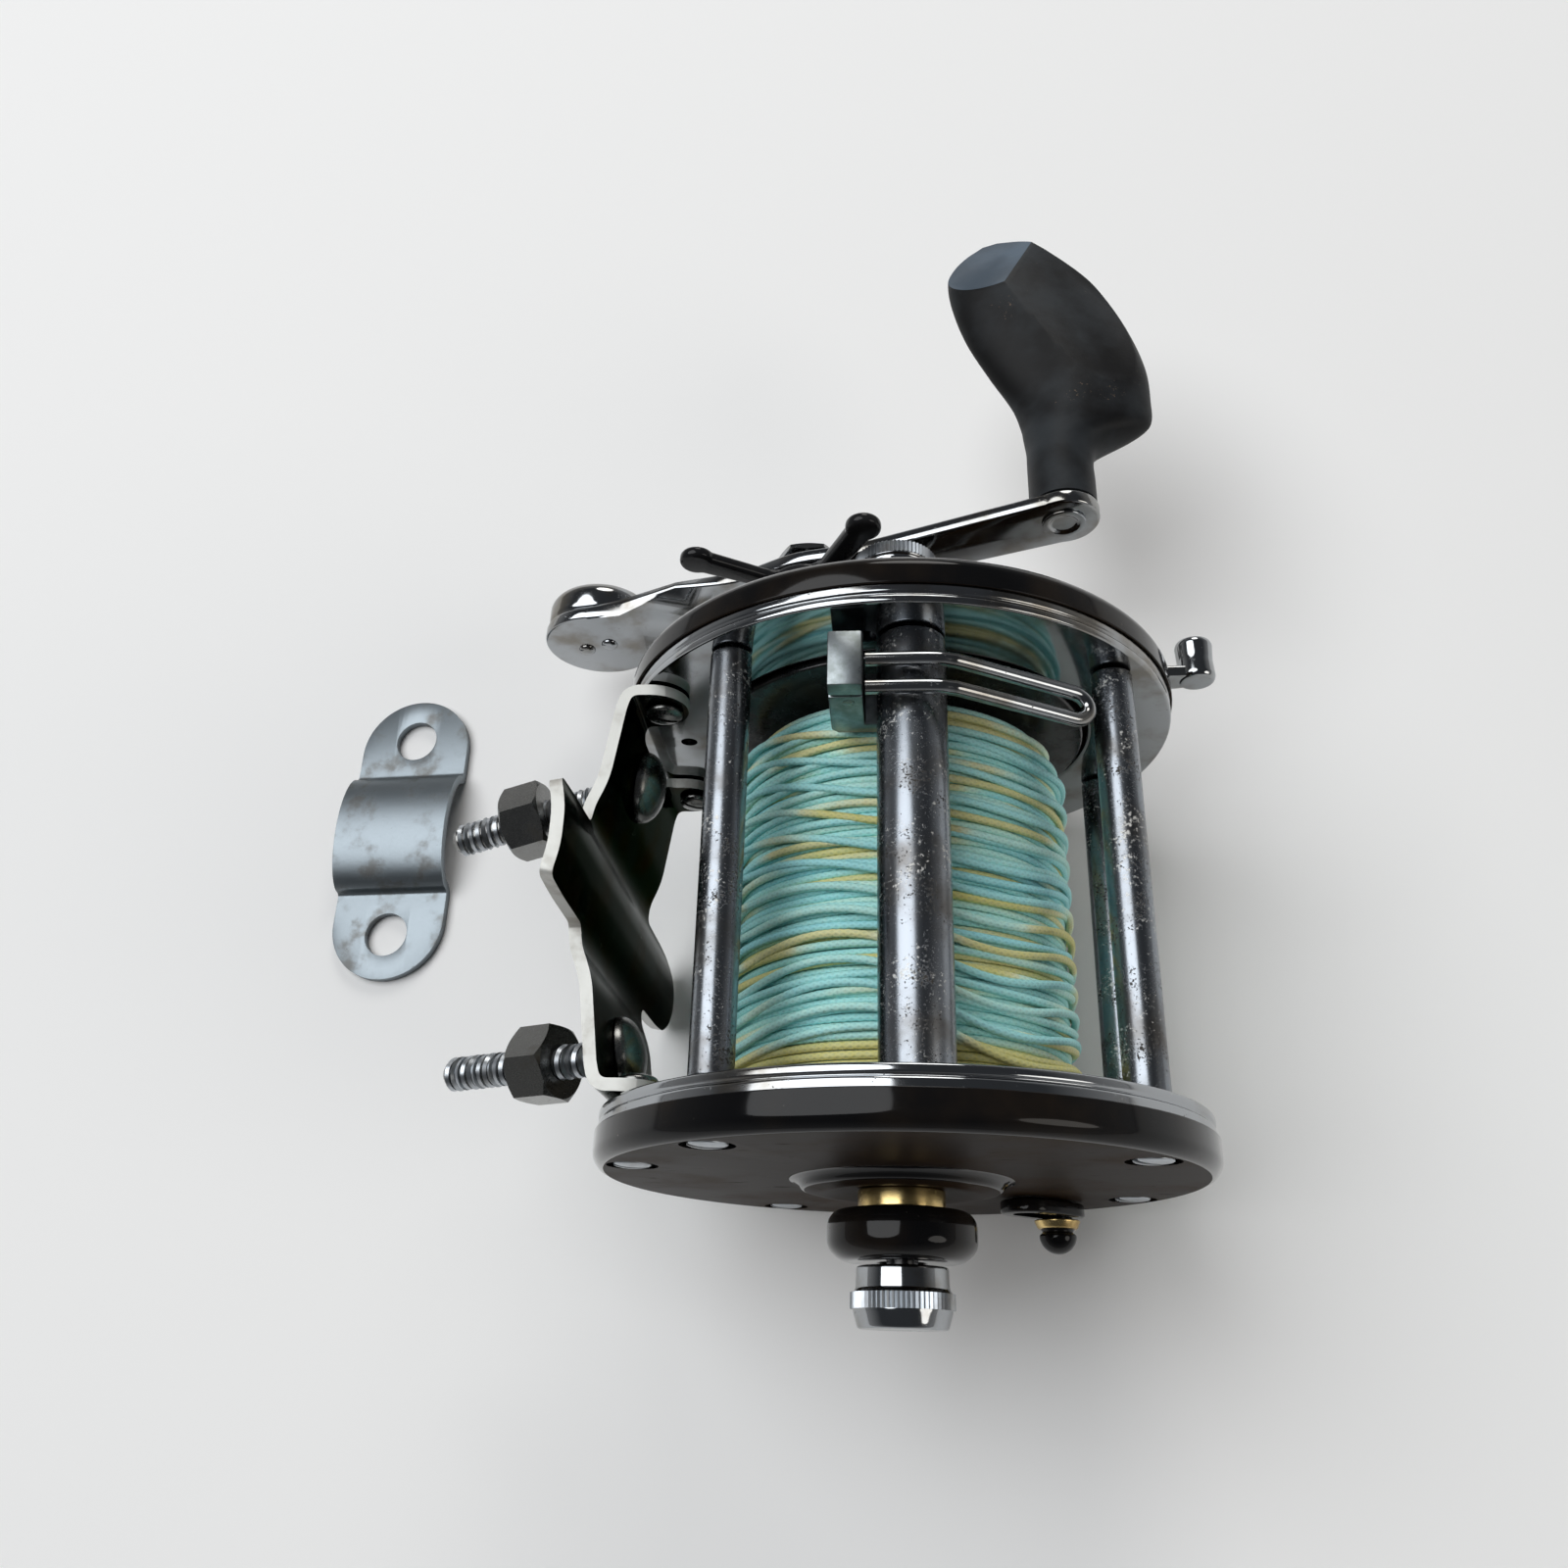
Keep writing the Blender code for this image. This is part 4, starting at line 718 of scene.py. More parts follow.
def skinned(rings: Sequence[Sequence[Vector]]) -> Shape:
    """Join rings of points into a closed skin with flat ends.

    Args:
        rings: The rings in their order, each with as many points as the others.

    Returns:
        A closed shape.
    """
    work = bmesh.new()
    loops = [[work.verts.new(spot) for spot in ring] for ring in rings]
    for front, back in zip(loops, loops[1:]):
        for k in range(len(front)):
            after = (k + 1) % len(front)
            work.faces.new((front[k], front[after], back[after], back[k]))
    work.faces.new(loops[0])
    work.faces.new(loops[-1])
    bmesh.ops.recalc_face_normals(work, faces=work.faces[:])
    return work


def as_mesh(work: Shape, name: str) -> bpy.types.Mesh:
    """Turn a shape into a mesh.

    Args:
        work: The shape, which is freed.
        name: The mesh's name.

    Returns:
        The mesh.
    """
    mesh = bpy.data.meshes.new(name)
    work.to_mesh(mesh)
    work.free()
    return mesh


def linked(name: str, data: bpy.types.ID) -> bpy.types.Object:
    """Put an object in the scene.

    Args:
        name: Its name.
        data: Its mesh, curve, lamp or camera.

    Returns:
        The object.
    """
    thing = bpy.data.objects.new(name, data)
    bpy.context.scene.collection.objects.link(thing)
    return thing


def evaluated(thing: bpy.types.Object, *spare: bpy.types.Object) -> bpy.types.Mesh:
    """Make the result of an object's modifiers a plain mesh and remove the objects.

    Args:
        thing: The object to evaluate.
        spare: Other short-lived objects that it used.

    Returns:
        The finished mesh.
    """
    graph = bpy.context.evaluated_depsgraph_get()
    graph.update()
    mesh = bpy.data.meshes.new_from_object(thing.evaluated_get(graph))
    for item in (thing, *spare):
        bpy.data.objects.remove(item, do_unlink=True)
    return mesh


def carved(base: Shape, *tools: Tool) -> bpy.types.Mesh:
    """Join shapes to a base or cut them out of it.

    Args:
        base: The shape to start from.
        tools: Pairs of a Boolean operation and a closed shape.

    Returns:
        The finished mesh.
    """
    thing = linked("base", as_mesh(base, "base"))
    spare = []
    for operation, shape in tools:
        tool = linked("tool", as_mesh(shape, "tool"))
        spare.append(tool)
        boolean = thing.modifiers.new(operation, "BOOLEAN")
        boolean.operation = operation
        boolean.solver = "EXACT"
        boolean.object = tool
    return evaluated(thing, *spare)


@dataclass(frozen=True)
class Strip:
    """A sheet bent along parallel lines, the same on both sides of its middle."""

    section: tuple[Point, ...]
    thickness: float
    weld: float = 1e-4

    def runs(self) -> list[float]:
        """The length along the section at each of its points."""
        total = [0.0]
        for first, second in zip(self.section, self.section[1:]):
            total.append(total[-1] + math.dist(first, second))
        return total

    def reach(self, across: float) -> float:
        """Find where the section first gets to a distance from the middle.

        Args:
            across: The distance.

        Returns:
            The length along the section there.
        """
        runs = self.runs()
        for index in range(1, len(runs)):
            before, here = self.section[index - 1][0], self.section[index][0]
            if here >= across > before:
                share = (across - before) / (here - before)
                return runs[index - 1] + (runs[index] - runs[index - 1]) * share
        return runs[-1]

    def normals(self) -> list[Vector]:
        """The upward normal at each point of the section."""
        ways = [(Vector(b) - Vector(a)).normalized() for a, b in zip(self.section, self.section[1:])]
        joined = [Vector((1.0, 0.0))]
        joined += [(a + b).normalized() for a, b in zip(ways, ways[1:])] + [ways[-1]]
        return [Vector((-way.y, way.x)) for way in joined]

    def mesh(self, outline: Outline, holes: Iterable[Outline], soft: float) -> bpy.types.Mesh:
        """Cut a flat pattern, bend it and give it its thickness.

        Args:
            outline: The flat pattern, as (length across the bends, place along them).
            holes: Closed outlines to leave open.
            soft: Rounding of its edges.

        Returns:
            The bent sheet, with its cut edges in the second material slot.
        """
        work = bmesh.new()
        work.from_mesh(evaluated(linked("pattern", flat_pattern([outline, *holes]))))
        bmesh.ops.remove_doubles(work, verts=work.verts[:], dist=self.weld)
        runs, normals = self.runs(), self.normals()
        for line in [-run for run in runs[1:-1]] + runs[:-1]:
            crease(work, (line, 0.0, 0.0), (1.0, 0.0, 0.0))
        grown = bmesh.ops.extrude_face_region(work, geom=work.faces[:])
        lower = [item for item in grown["geom"] if isinstance(item, bmesh.types.BMVert)]
        bmesh.ops.translate(work, vec=(0.0, 0.0, -self.thickness), verts=lower)
        for face in work.faces:
            levels = [vertex.co.z for vertex in face.verts]
            face.material_index = int(max(levels) - min(levels) > self.thickness / 2)
        for vertex in work.verts:
            length, along, depth = vertex.co
            side = math.copysign(1.0, length)
            index = next((k for k in range(1, len(runs)) if runs[k] >= abs(length)), len(runs) - 1)
            share = (abs(length) - runs[index - 1]) / (runs[index] - runs[index - 1])
            spot = Vector(self.section[index - 1]).lerp(Vector(self.section[index]), share)
            spot += normals[index - 1].lerp(normals[index], share) * depth
            vertex.co = (spot.y, side * spot.x, along)
        bmesh.ops.recalc_face_normals(work, faces=work.faces[:])
        rims = [edge for edge in work.edges if len({face.material_index for face in edge.link_faces}) > 1]
        bmesh.ops.bevel(
            work, geom=rims, offset=soft, segments=2, profile=0.5, affect="EDGES", clamp_overlap=True,
        )
        return as_mesh(work, "sheet")


def flat_pattern(loops: Iterable[Outline]) -> bpy.types.Curve:
    """Make a filled flat curve.

    Args:
        loops: Its outline and then its holes.

    Returns:
        The curve.
    """
    pattern = bpy.data.curves.new("pattern", "CURVE")
    pattern.dimensions = "2D"
    pattern.fill_mode = "BOTH"
    for loop in loops:
        spline = pattern.splines.new("POLY")
        spline.points.add(len(loop) - 1)
        spline.use_cyclic_u = True
        for slot, (x, y) in zip(spline.points, loop):
            slot.co = (x, y, 0.0, 1.0)
    return pattern


class Grower:
    """Geometry Nodes trees for what repeats, each with named inputs."""

    def __init__(self, name: str, inputs: Mapping[str, tuple[str, Any]]) -> None:
        """Start a tree with a geometry in and out.

        Args:
            name: The tree's name.
            inputs: The socket type and the default of each named input.
        """
        self.tree = bpy.data.node_groups.new(name, "GeometryNodeTree")
        face = self.tree.interface
        face.new_socket("Geometry", in_out="INPUT", socket_type="NodeSocketGeometry")
        face.new_socket("Geometry", in_out="OUTPUT", socket_type="NodeSocketGeometry")
        self.keys: dict[str, str] = {}
        for label, (kind, default) in inputs.items():
            socket = face.new_socket(label, in_out="INPUT", socket_type=kind)
            if default is not None:
                socket.default_value = default
            self.keys[label] = socket.identifier
        self.entry = self.tree.nodes.new("NodeGroupInput")

    def add(self, kind: str, settings: Mapping[str, Any] | None = None, **sockets: Any) -> bpy.types.Node:
        """Add a node.

        Args:
            kind: Its type.
            settings: Its settings, set first.
            sockets: Its inputs by name, with spaces written as underscores, or by n and a number.
                A link is an output socket.

        Returns:
            The node.
        """
        node = self.tree.nodes.new(kind)
        for key, value in (settings or {}).items():
            setattr(node, key, value)
        for key, value in sockets.items():
            by_number = key[0] == "n" and key[1:].isdigit()
            socket = node.inputs[int(key[1:]) if by_number else key.replace("_", " ")]
            if isinstance(value, bpy.types.NodeSocket):
                self.tree.links.new(value, socket)
            else:
                socket.default_value = value
        return node

    def take(self, label: str) -> bpy.types.NodeSocket:
        """The value of a named input."""
        return self.entry.outputs[label]

    def close(self, geometry: bpy.types.NodeSocket) -> Grower:
        """End the tree in Realize Instances and Set Material.

        Args:
            geometry: What the tree has made.

        Returns:
            The tree's own grower.
        """
        real = self.add("GeometryNodeRealizeInstances", None, Geometry=geometry)
        finish = self.take("Material")
        dressed = self.add("GeometryNodeSetMaterial", None, Geometry=real.outputs[0], Material=finish)
        self.add("NodeGroupOutput", None, Geometry=dressed.outputs[0])
        return self

    def grow(self, base: bpy.types.Mesh | None = None, **values: Any) -> bpy.types.Mesh:
        """Run the tree.

        Args:
            base: The mesh that goes in, if the tree needs one.
            values: The named inputs, with spaces written as underscores.

        Returns:
            The grown mesh.
        """
        thing = linked("grown", base or bpy.data.meshes.new("none"))
        modifier = thing.modifiers.new("grow", "NODES")
        modifier.node_group = self.tree
        for label, value in values.items():
            modifier[self.keys[label.replace("_", " ")]] = value
        return evaluated(thing)


def copies_tree() -> Grower:
    """A tree that sets a copy of one piece on every point of a mesh."""
    grower = Grower("copies", {
        "Piece": ("NodeSocketObject", None), "Turn": ("NodeSocketRotation", None),
        "Material": ("NodeSocketMaterial", None),
    })
    piece = grower.add("GeometryNodeObjectInfo", None, Object=grower.take("Piece"))
    copies = grower.add(
        "GeometryNodeInstanceOnPoints", None, Points=grower.take("Geometry"),
        Instance=piece.outputs["Geometry"], Rotation=grower.take("Turn"),
    )
    return grower.close(copies.outputs[0])


def knurl_tree() -> Grower:
    """A tree that sets ridges round a circle, as on a finger nut."""
    grower = Grower("knurl", {
        "Count": ("NodeSocketInt", 60), "Radius": ("NodeSocketFloat", 5.0),
        "Ridge": ("NodeSocketFloat", 0.3), "Length": ("NodeSocketFloat", 1.6),
        "Material": ("NodeSocketMaterial", None),
    })
    count, radius, wide = (grower.take(label) for label in ("Count", "Radius", "Ridge"))
    ring = grower.add("GeometryNodeMeshCircle", None, Vertices=count, Radius=radius)
    size = grower.add("ShaderNodeCombineXYZ", None, X=wide, Y=wide, Z=grower.take("Length"))
    ridge = grower.add("GeometryNodeMeshCube", None, Size=size.outputs[0])
    tilted = grower.add(
        "GeometryNodeTransform", None, Geometry=ridge.outputs[0], Rotation=(0.0, 0.0, math.radians(45.0)),
    )
    spot = grower.add("GeometryNodeInputPosition")
    facing = grower.add("FunctionNodeAlignRotationToVector", {"axis": "X"}, Vector=spot.outputs[0])
    copies = grower.add(
        "GeometryNodeInstanceOnPoints", None, Points=ring.outputs[0], Instance=tilted.outputs[0],
        Rotation=facing.outputs[0],
    )
    return grower.close(copies.outputs[0])


def thread_tree() -> Grower:
    """A tree that winds a screw thread's ridge along Z."""
    grower = Grower("thread", {
        "Length": ("NodeSocketFloat", 20.0), "Radius": ("NodeSocketFloat", 2.0),
        "Pitch": ("NodeSocketFloat", 0.8), "Depth": ("NodeSocketFloat", 0.4),
        "Material": ("NodeSocketMaterial", None),
    })
    length, radius, pitch = (grower.take(label) for label in ("Length", "Radius", "Pitch"))
    turns = grower.add("ShaderNodeMath", {"operation": "DIVIDE"}, n0=length, n1=pitch)
    spiral = grower.add(
        "GeometryNodeCurveSpiral", None, Resolution=32, Rotations=turns.outputs[0],
        Start_Radius=radius, End_Radius=radius, Height=length,
    )
    ridge = grower.add("GeometryNodeCurvePrimitiveCircle", None, Resolution=4, Radius=grower.take("Depth"))
    swept = grower.add(
        "GeometryNodeCurveToMesh", None, Curve=spiral.outputs[0], Profile_Curve=ridge.outputs[0],
        Fill_Caps=True,
    )
    return grower.close(swept.outputs[0])


@dataclass(frozen=True)
class ReelFrame:
    """The reel's axes in the row frame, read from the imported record."""

    matrix: Matrix
    nodes: Mapping[str, bpy.types.Object]
    joints: Mapping[str, Mapping[str, Any]]

    @classmethod
    def from_frame(cls, frame: Mapping[str, Any]) -> ReelFrame:
        """Read the axes from the spool's joint and the rod seat's mount.


        Returns:
            The reel's frame.
        """
        joints = {joint["name"]: joint for joint in frame["joints"]}
        seat = next(mount for mount in frame["record"]["mounts"] if mount["name"] == "rod_seat")
        x = -Vector(seat["axis"]).normalized()
        y = Vector(joints["spool_spin"]["axis"]).normalized()
        turn = Matrix((x, y, x.cross(y))).transposed().to_4x4()
        place = Matrix.Translation(Vector(joints["spool_spin"]["pos_m"]))
        return cls(place @ turn @ Matrix.Scale(MM, 4), frame["nodes"], joints)

    def spots(self, node: str) -> list[Vector]:
        """A node's vertices in the reel's axes."""
        back = self.matrix.inverted()
        return [back @ vertex.co for vertex in self.nodes[node].data.vertices]

    def extent(self, node: str) -> tuple[Vector, Vector]:
        """A node's lowest and highest corner in the reel's axes."""
        columns = list(zip(*self.spots(node)))
        return Vector(map(min, columns)), Vector(map(max, columns))

    def run(self, node: str) -> Point:
        """Where a node starts and ends along Y."""
        low, high = self.extent(node)
        return low.y, high.y

    def middle(self, node: str) -> Point:
        """The X and Z of the middle of a node's box."""
        low, high = self.extent(node)
        return (low.x + high.x) / 2, (low.z + high.z) / 2

    def axis(self, joint: str) -> Point:
        """The X and Z of a hinge along Y."""
        spot = self.matrix.inverted() @ Vector(self.joints[joint]["pos_m"])
        return spot.x, spot.z

    def click_slot(self, radius: float) -> Outline:
        """A round-ended outline along the click's slot."""
        x, z = self.middle("click_bush")
        return moved(stadium(CLICK_SLOT_HALF, radius, math.degrees(math.atan2(z, x))), (x, z))


class Workshop:
    """Places finished meshes on their bodies."""

    def __init__(self, reel: ReelFrame) -> None:
        """Make the materials and the trees.

        Args:
            reel: The reel's frame.
        """
        self.reel = reel
        self.materials = {coat: finish.make() for coat, finish in FINISHES.items()}
        self.copies = copies_tree()
        self.knurl = knurl_tree()
        self.thread = thread_tree()

    def place(
        self, name: str, shape: Shape | bpy.types.Mesh, coat: Coat, body: str,
        nodes: Sequence[str] = (), local: Matrix | None = None, world: Matrix | None = None,
        sharp: float = 35.0, trim: Coat | None = None,
    ) -> None:
        """Make a piece of the object.

        Args:
            name: The piece's name.
            shape: Its closed shape, in millimetres.
            coat: Its finish.
            body: The CAD body that it moves with.
            nodes: The CAD nodes that it stands for.
            local: A turn and move in the reel's axes, done first.
            world: The axes that it is built in, if they aren't the reel's.
            sharp: Edges over this angle stay sharp.
            trim: The finish of the faces in the second slot, if they have their own.
        """
        mesh = as_mesh(shape, name) if isinstance(shape, Shape) else shape
        mesh.name = name
        mesh.transform((world or self.reel.matrix) @ (local or Matrix.Identity(4)))
        slots = [face.material_index if trim else 0 for face in mesh.polygons]
        mesh.materials.clear()
        for finish in filter(None, (coat, trim)):
            mesh.materials.append(self.materials[finish])
        mesh.polygons.foreach_set("material_index", slots)
        mesh.shade_smooth()
        mesh.set_sharp_from_angle(angle=math.radians(sharp))
        piece = linked(name, mesh)
        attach(piece, body)
        if nodes:
            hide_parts(*nodes)
        LOG.info("%s on %s, %d faces", name, body, len(mesh.polygons))

    def scatter(
        self, piece: bpy.types.Mesh, spots: Sequence[Vector], turn: Sequence[float], coat: Coat,
    ) -> bpy.types.Mesh:
        """Set copies of a mesh on points.

        Args:
            piece: The mesh to copy.
            spots: Where the copies go.
            turn: The turn of every copy, as Euler angles.
            coat: Their finish.

        Returns:
            All the copies in one mesh.
        """
        points = bpy.data.meshes.new("spots")
        points.from_pydata([tuple(spot) for spot in spots], [], [])
        pattern = linked("copied", piece)
        mesh = self.copies.grow(points, Piece=pattern, Turn=turn, Material=self.materials[coat])
        bpy.data.objects.remove(pattern, do_unlink=True)
        return mesh

    def dress(self, coat: Coat, *nodes: str) -> None:
        """Give a finish to CAD nodes that stay as they are.

        Args:
            coat: The finish.
            nodes: Their names.
        """
        for node in nodes:
            data = self.reel.nodes[node].data
            data.materials.clear()
            data.materials.append(self.materials[coat])
            LOG.info("%s keeps its CAD shape", node)


def mark_flats(mesh: bpy.types.Mesh, axis: Vector, limit: float = 0.97) -> None:
    """Mark the faces square to an axis, within a limit, for painted light and, on the plates, no coat."""
    matt = mesh.attributes.new("matt", "FLOAT", "FACE")
    matt.data.foreach_set("value", [float(abs(face.normal.dot(axis)) > limit) for face in mesh.polygons])


def slotted_screw(radius: float, rise: float, depth: float, slot: float) -> bpy.types.Mesh:
    """A slotted screw head along +Y, its seat at 0.

    Args:
        radius: Head radius.
        rise: How far the crown stands over the rim.
        depth: Height of the rim.
        slot: Width of the slot.

    Returns:
        The head's mesh.
    """
    head = lathe([(0.0, 0.0), (radius, 0.0)] + crown(radius, depth, rise, 8), 40)
    reach, half, top = radius * 2, slot / 2, depth + rise
    bar = [(-reach, -half), (reach, -half), (reach, half), (-reach, half)]
    return carved(head, ("DIFFERENCE", prism(bar, top - SCREW_SLOT_DEPTH, top + PAST)))


@dataclass
class SideFrames:
    """Chrome rings, black plates and the slotted screws that hold them."""

    shop: Workshop
    ring_bore: float = 24.6
    rim_round: float = 0.5
    rim_groove: float = 0.28
    groove_shift: float = 0.5
    ring_holes: tuple[Point, ...] = ((-27.6, 1.5), (-3.3, 27.9))
    ring_hole_radius: float = 1.1
    ring_hole_depth: float = 1.4
    worm_room: float = 5.5
    screw_radius: float = 2.1
    screw_rise: float = 0.35
    screw_rim: float = 0.85
    screw_slot: float = 0.75
    screw_sink: float = 0.8
    sink_radius: float = 2.9
    sink_depth: float = 1.5
    stand_screw: Point = (31.0, 162.0)
    plate_thick: float = 2.6
    lip: float = 1.3
    lip_fit: float = 0.03
    lip_proud: float = 0.35
    boss_radius: float = 11.9
    boss_end: float = 41.05
    boss_steps: tuple[Point, ...] = ((0.9, 0.0), (0.0, 0.5), (-0.4, 1.1), (-2.6, 1.6))
    bush_radius: float = 5.0
    bush_wall: float = 1.0
    lock_ring_radius: float = 8.5
    lock_ring_height: float = 6.7
    housing_round: float = 1.6
    housing_wall: float = 2.0
    housing_rise: float = 10.0
    housing_neck: float = 12.5
    pivot_bore: float = 1.5
    pivot_depth: float = 1.5

    def build(self) -> None:
        """Make the rings, the plates and their screws."""
        for side in Side:
            self.ring(side)
            self.screws(side)
        self.left_plate()
        self.right_plate()

    def ring(self, side: Side) -> None:
        """Turn a rounded ring with a grooved rim; the right one has blind holes, the left one worm room.

        Args:
            side: Which ring.
        """
        reel = self.shop.reel
        node = f"ring_{side.value}"
        low, high = reel.run(node)
        outer, bore, groove = reel.extent(node)[1].x, self.ring_bore, self.rim_groove
        middle = (low + high) / 2 - side.sign * self.groove_shift
        rim = [(outer, middle - groove), (outer - groove, middle), (outer, middle + groove)]
        corners = [(bore, low), (outer, low), *rim, (outer, high), (bore, high)]
        shape = lathe(eased(corners, self.rim_round, True), FINE)
        if side is Side.RIGHT:
            stop = low + self.ring_hole_depth
            tools = [drill(self.ring_hole_radius, low - PAST, stop, spot) for spot in self.ring_holes]
        else:
            tools = [drill(self.worm_room, low - PAST, high + PAST, reel.axis("worm_turn"), 36)]
        self.shop.place(f"{side.value}_ring", carved(shape, *tools), Coat.CHROME, "frame", [node])

    def screws(self, side: Side) -> None:
        """Set slotted screws in a plate's sinks.

        Args:
            side: Which plate.
        """
        nodes = [f"post_screw_{side.value}_{place}" for place in POST_PLACES]
        low, high = self.shop.reel.run(nodes[0])
        level = high - self.screw_sink if side is Side.RIGHT else low + self.screw_sink
        screw = slotted_screw(self.screw_radius, self.screw_rise, self.screw_rim, self.screw_slot)
        spots = [Vector((x, level, z)) for x, z in self.screw_spots(side)]
        turn = (0.0, 0.6, 0.0) if side is Side.RIGHT else (math.pi, 0.35, 0.0)
        mesh = self.shop.scatter(screw, spots, turn, Coat.ZINC)
        self.shop.place(f"{side.value}_plate_screws", mesh, Coat.ZINC, "frame", nodes)

    def screw_spots(self, side: Side) -> Outline:
        """Where a plate's screws sit: one on each post, and on the left one more by the stand."""
        spots = [self.shop.reel.middle(f"post_screw_{side.value}_{place}") for place in POST_PLACES]
        return spots + ([polar(*self.stand_screw)] if side is Side.LEFT else [])

    def sinks(self, side: Side, face: float) -> list[Tool]:
        """Counterbores for a plate's screws, from its outer face in."""
        low, high = sorted((face - side.sign * self.sink_depth, face + side.sign * 2 * PAST))
        return [drill(self.sink_radius, low, high, spot) for spot in self.screw_spots(side)]

    def rim(self, side: Side, face: float, back: float) -> Outline:
        """Draw a plate's edge, with a lip that laps over its ring.

        Args:
            side: Which plate.
            face: Where its inner face is, away from the reel's middle.
            back: Where its outer face is.

        Returns:
            The edge's (radius, distance) points, from the inner face out.
        """
        ring = self.shop.reel.extent(f"ring_{side.value}")[1].x
        near, far, start = ring + self.lip_fit, ring + self.lip_proud, face - self.lip
        return [(near, face), (near, start), (far, start), (far, back - 1.1), (far - 0.9, back)]

    def left_plate(self) -> None:
        """The left plate with its stepped boss and the click's slot."""
        reel = self.shop.reel
        face = -reel.run("plate_left")[1]
        back, end = face + self.plate_thick, self.boss_end - 2.0
        neck = self.bush_radius - self.bush_wall
        steps = [(self.boss_radius + out, back + up) for out, up in self.boss_steps]
        corners = [
            (SHAFT_BORE, face), *self.rim(Side.LEFT, face, back), *steps, (neck + 1.6, back + 0.9),
            (neck, back + 0.9), (neck, end), (SHAFT_BORE, end),
        ]
        shape = lathe(Side.LEFT.turned(eased(corners, 0.8, True)), FINE)
        slot = prism(reel.click_slot(CLICK_SLOT_RADIUS), -back - PAST, -face + PAST)
        plate = carved(shape, *self.sinks(Side.LEFT, -back), ("DIFFERENCE", slot))
        mark_flats(plate, Y_AXIS)
        self.shop.place("left_plate", plate, Coat.BLACK, "frame", ["plate_left"])
        self.boss(neck + 0.1, back + 1.0)

    def boss(self, neck: float, base: float) -> None:
        """Put the brass bush and the lock ring round the boss's neck.

        Args:
            neck: The bush's inner radius.
            base: Where the bush starts, away from the reel's middle.
        """
        bush, lock, end = self.bush_radius, self.lock_ring_radius, self.boss_end
        foot = end - self.lock_ring_height
        band = [(neck, base), (bush, base), (bush, foot - 0.1), (neck, foot - 0.1)]
        shape = lathe(Side.LEFT.turned(eased(band, 0.25, True)))
        self.shop.place("boss_bush", shape, Coat.BRASS, "frame")
        ring = [
            (SHAFT_BORE, foot), (lock - 0.9, foot), (lock, foot + 1.2), (lock, end - 2.6),
            (lock - 1.6, end - 1.2), (SHAFT_BORE, end - 1.2),
        ]
        shape = lathe(Side.LEFT.turned(eased(ring, 1.0, True)))
        self.shop.place("boss_lock_ring", shape, Coat.BLACK, "frame")

    def right_plate(self) -> None:
        """The right plate with its stepped, off-centre gear housing, hollow over the gears."""
        reel = self.shop.reel
        face, end = reel.run("plate_right")
        back, start, stop = face + self.plate_thick, face - PAST, end + PAST
        centre = reel.middle("bridge")
        low, high = reel.extent("bridge")
        cavity = (high.x - low.x) / 2 + GAP
        wall, neck = cavity + self.housing_wall, self.housing_neck
        corners = [(0.0, face), *self.rim(Side.RIGHT, face, back), (0.0, back)]
        shape = lathe(eased(corners, 0.7), FINE)
        root, top = face + 0.4, face + self.housing_rise
        shell = [
            (0.0, root), (wall, root), (wall, top), (wall - 3.0, top + 2.2), (neck, top + 2.8),
            (neck, end), (0.0, end),
        ]
        plate = carved(
            shape, ("UNION", lathe(eased(shell, self.housing_round), FINE, centre)),
            drill(cavity, start, top, centre, 96), drill(SHAFT_BORE, start, stop),
            drill(CRANK_BORE, start, stop, reel.axis("crank_turn")),
            drill(self.pivot_bore, back - self.pivot_depth, back + PAST, reel.axis("lever_throw")),
            *self.sinks(Side.RIGHT, back),
        )
        mark_flats(plate, Y_AXIS)
        self.shop.place("right_plate", plate, Coat.BLACK, "frame", ["plate_right"])


@dataclass
class Posts:
    """The four chrome posts between the rings."""

    shop: Workshop
    radius: float = 2.4
    end_round: float = 0.3

    def build(self) -> None:
        """Turn each post, its ends eased."""
        for place in POST_PLACES:
            node = f"post_{place}"
            low, high = self.shop.reel.run(node)
            corners = [(0.0, low), (self.radius, low), (self.radius, high), (0.0, high)]
            shape = lathe(eased(corners, self.end_round), 64, self.shop.reel.middle(node))
            self.shop.place(f"{place}_post", shape, Coat.PITTED, "frame", [node])


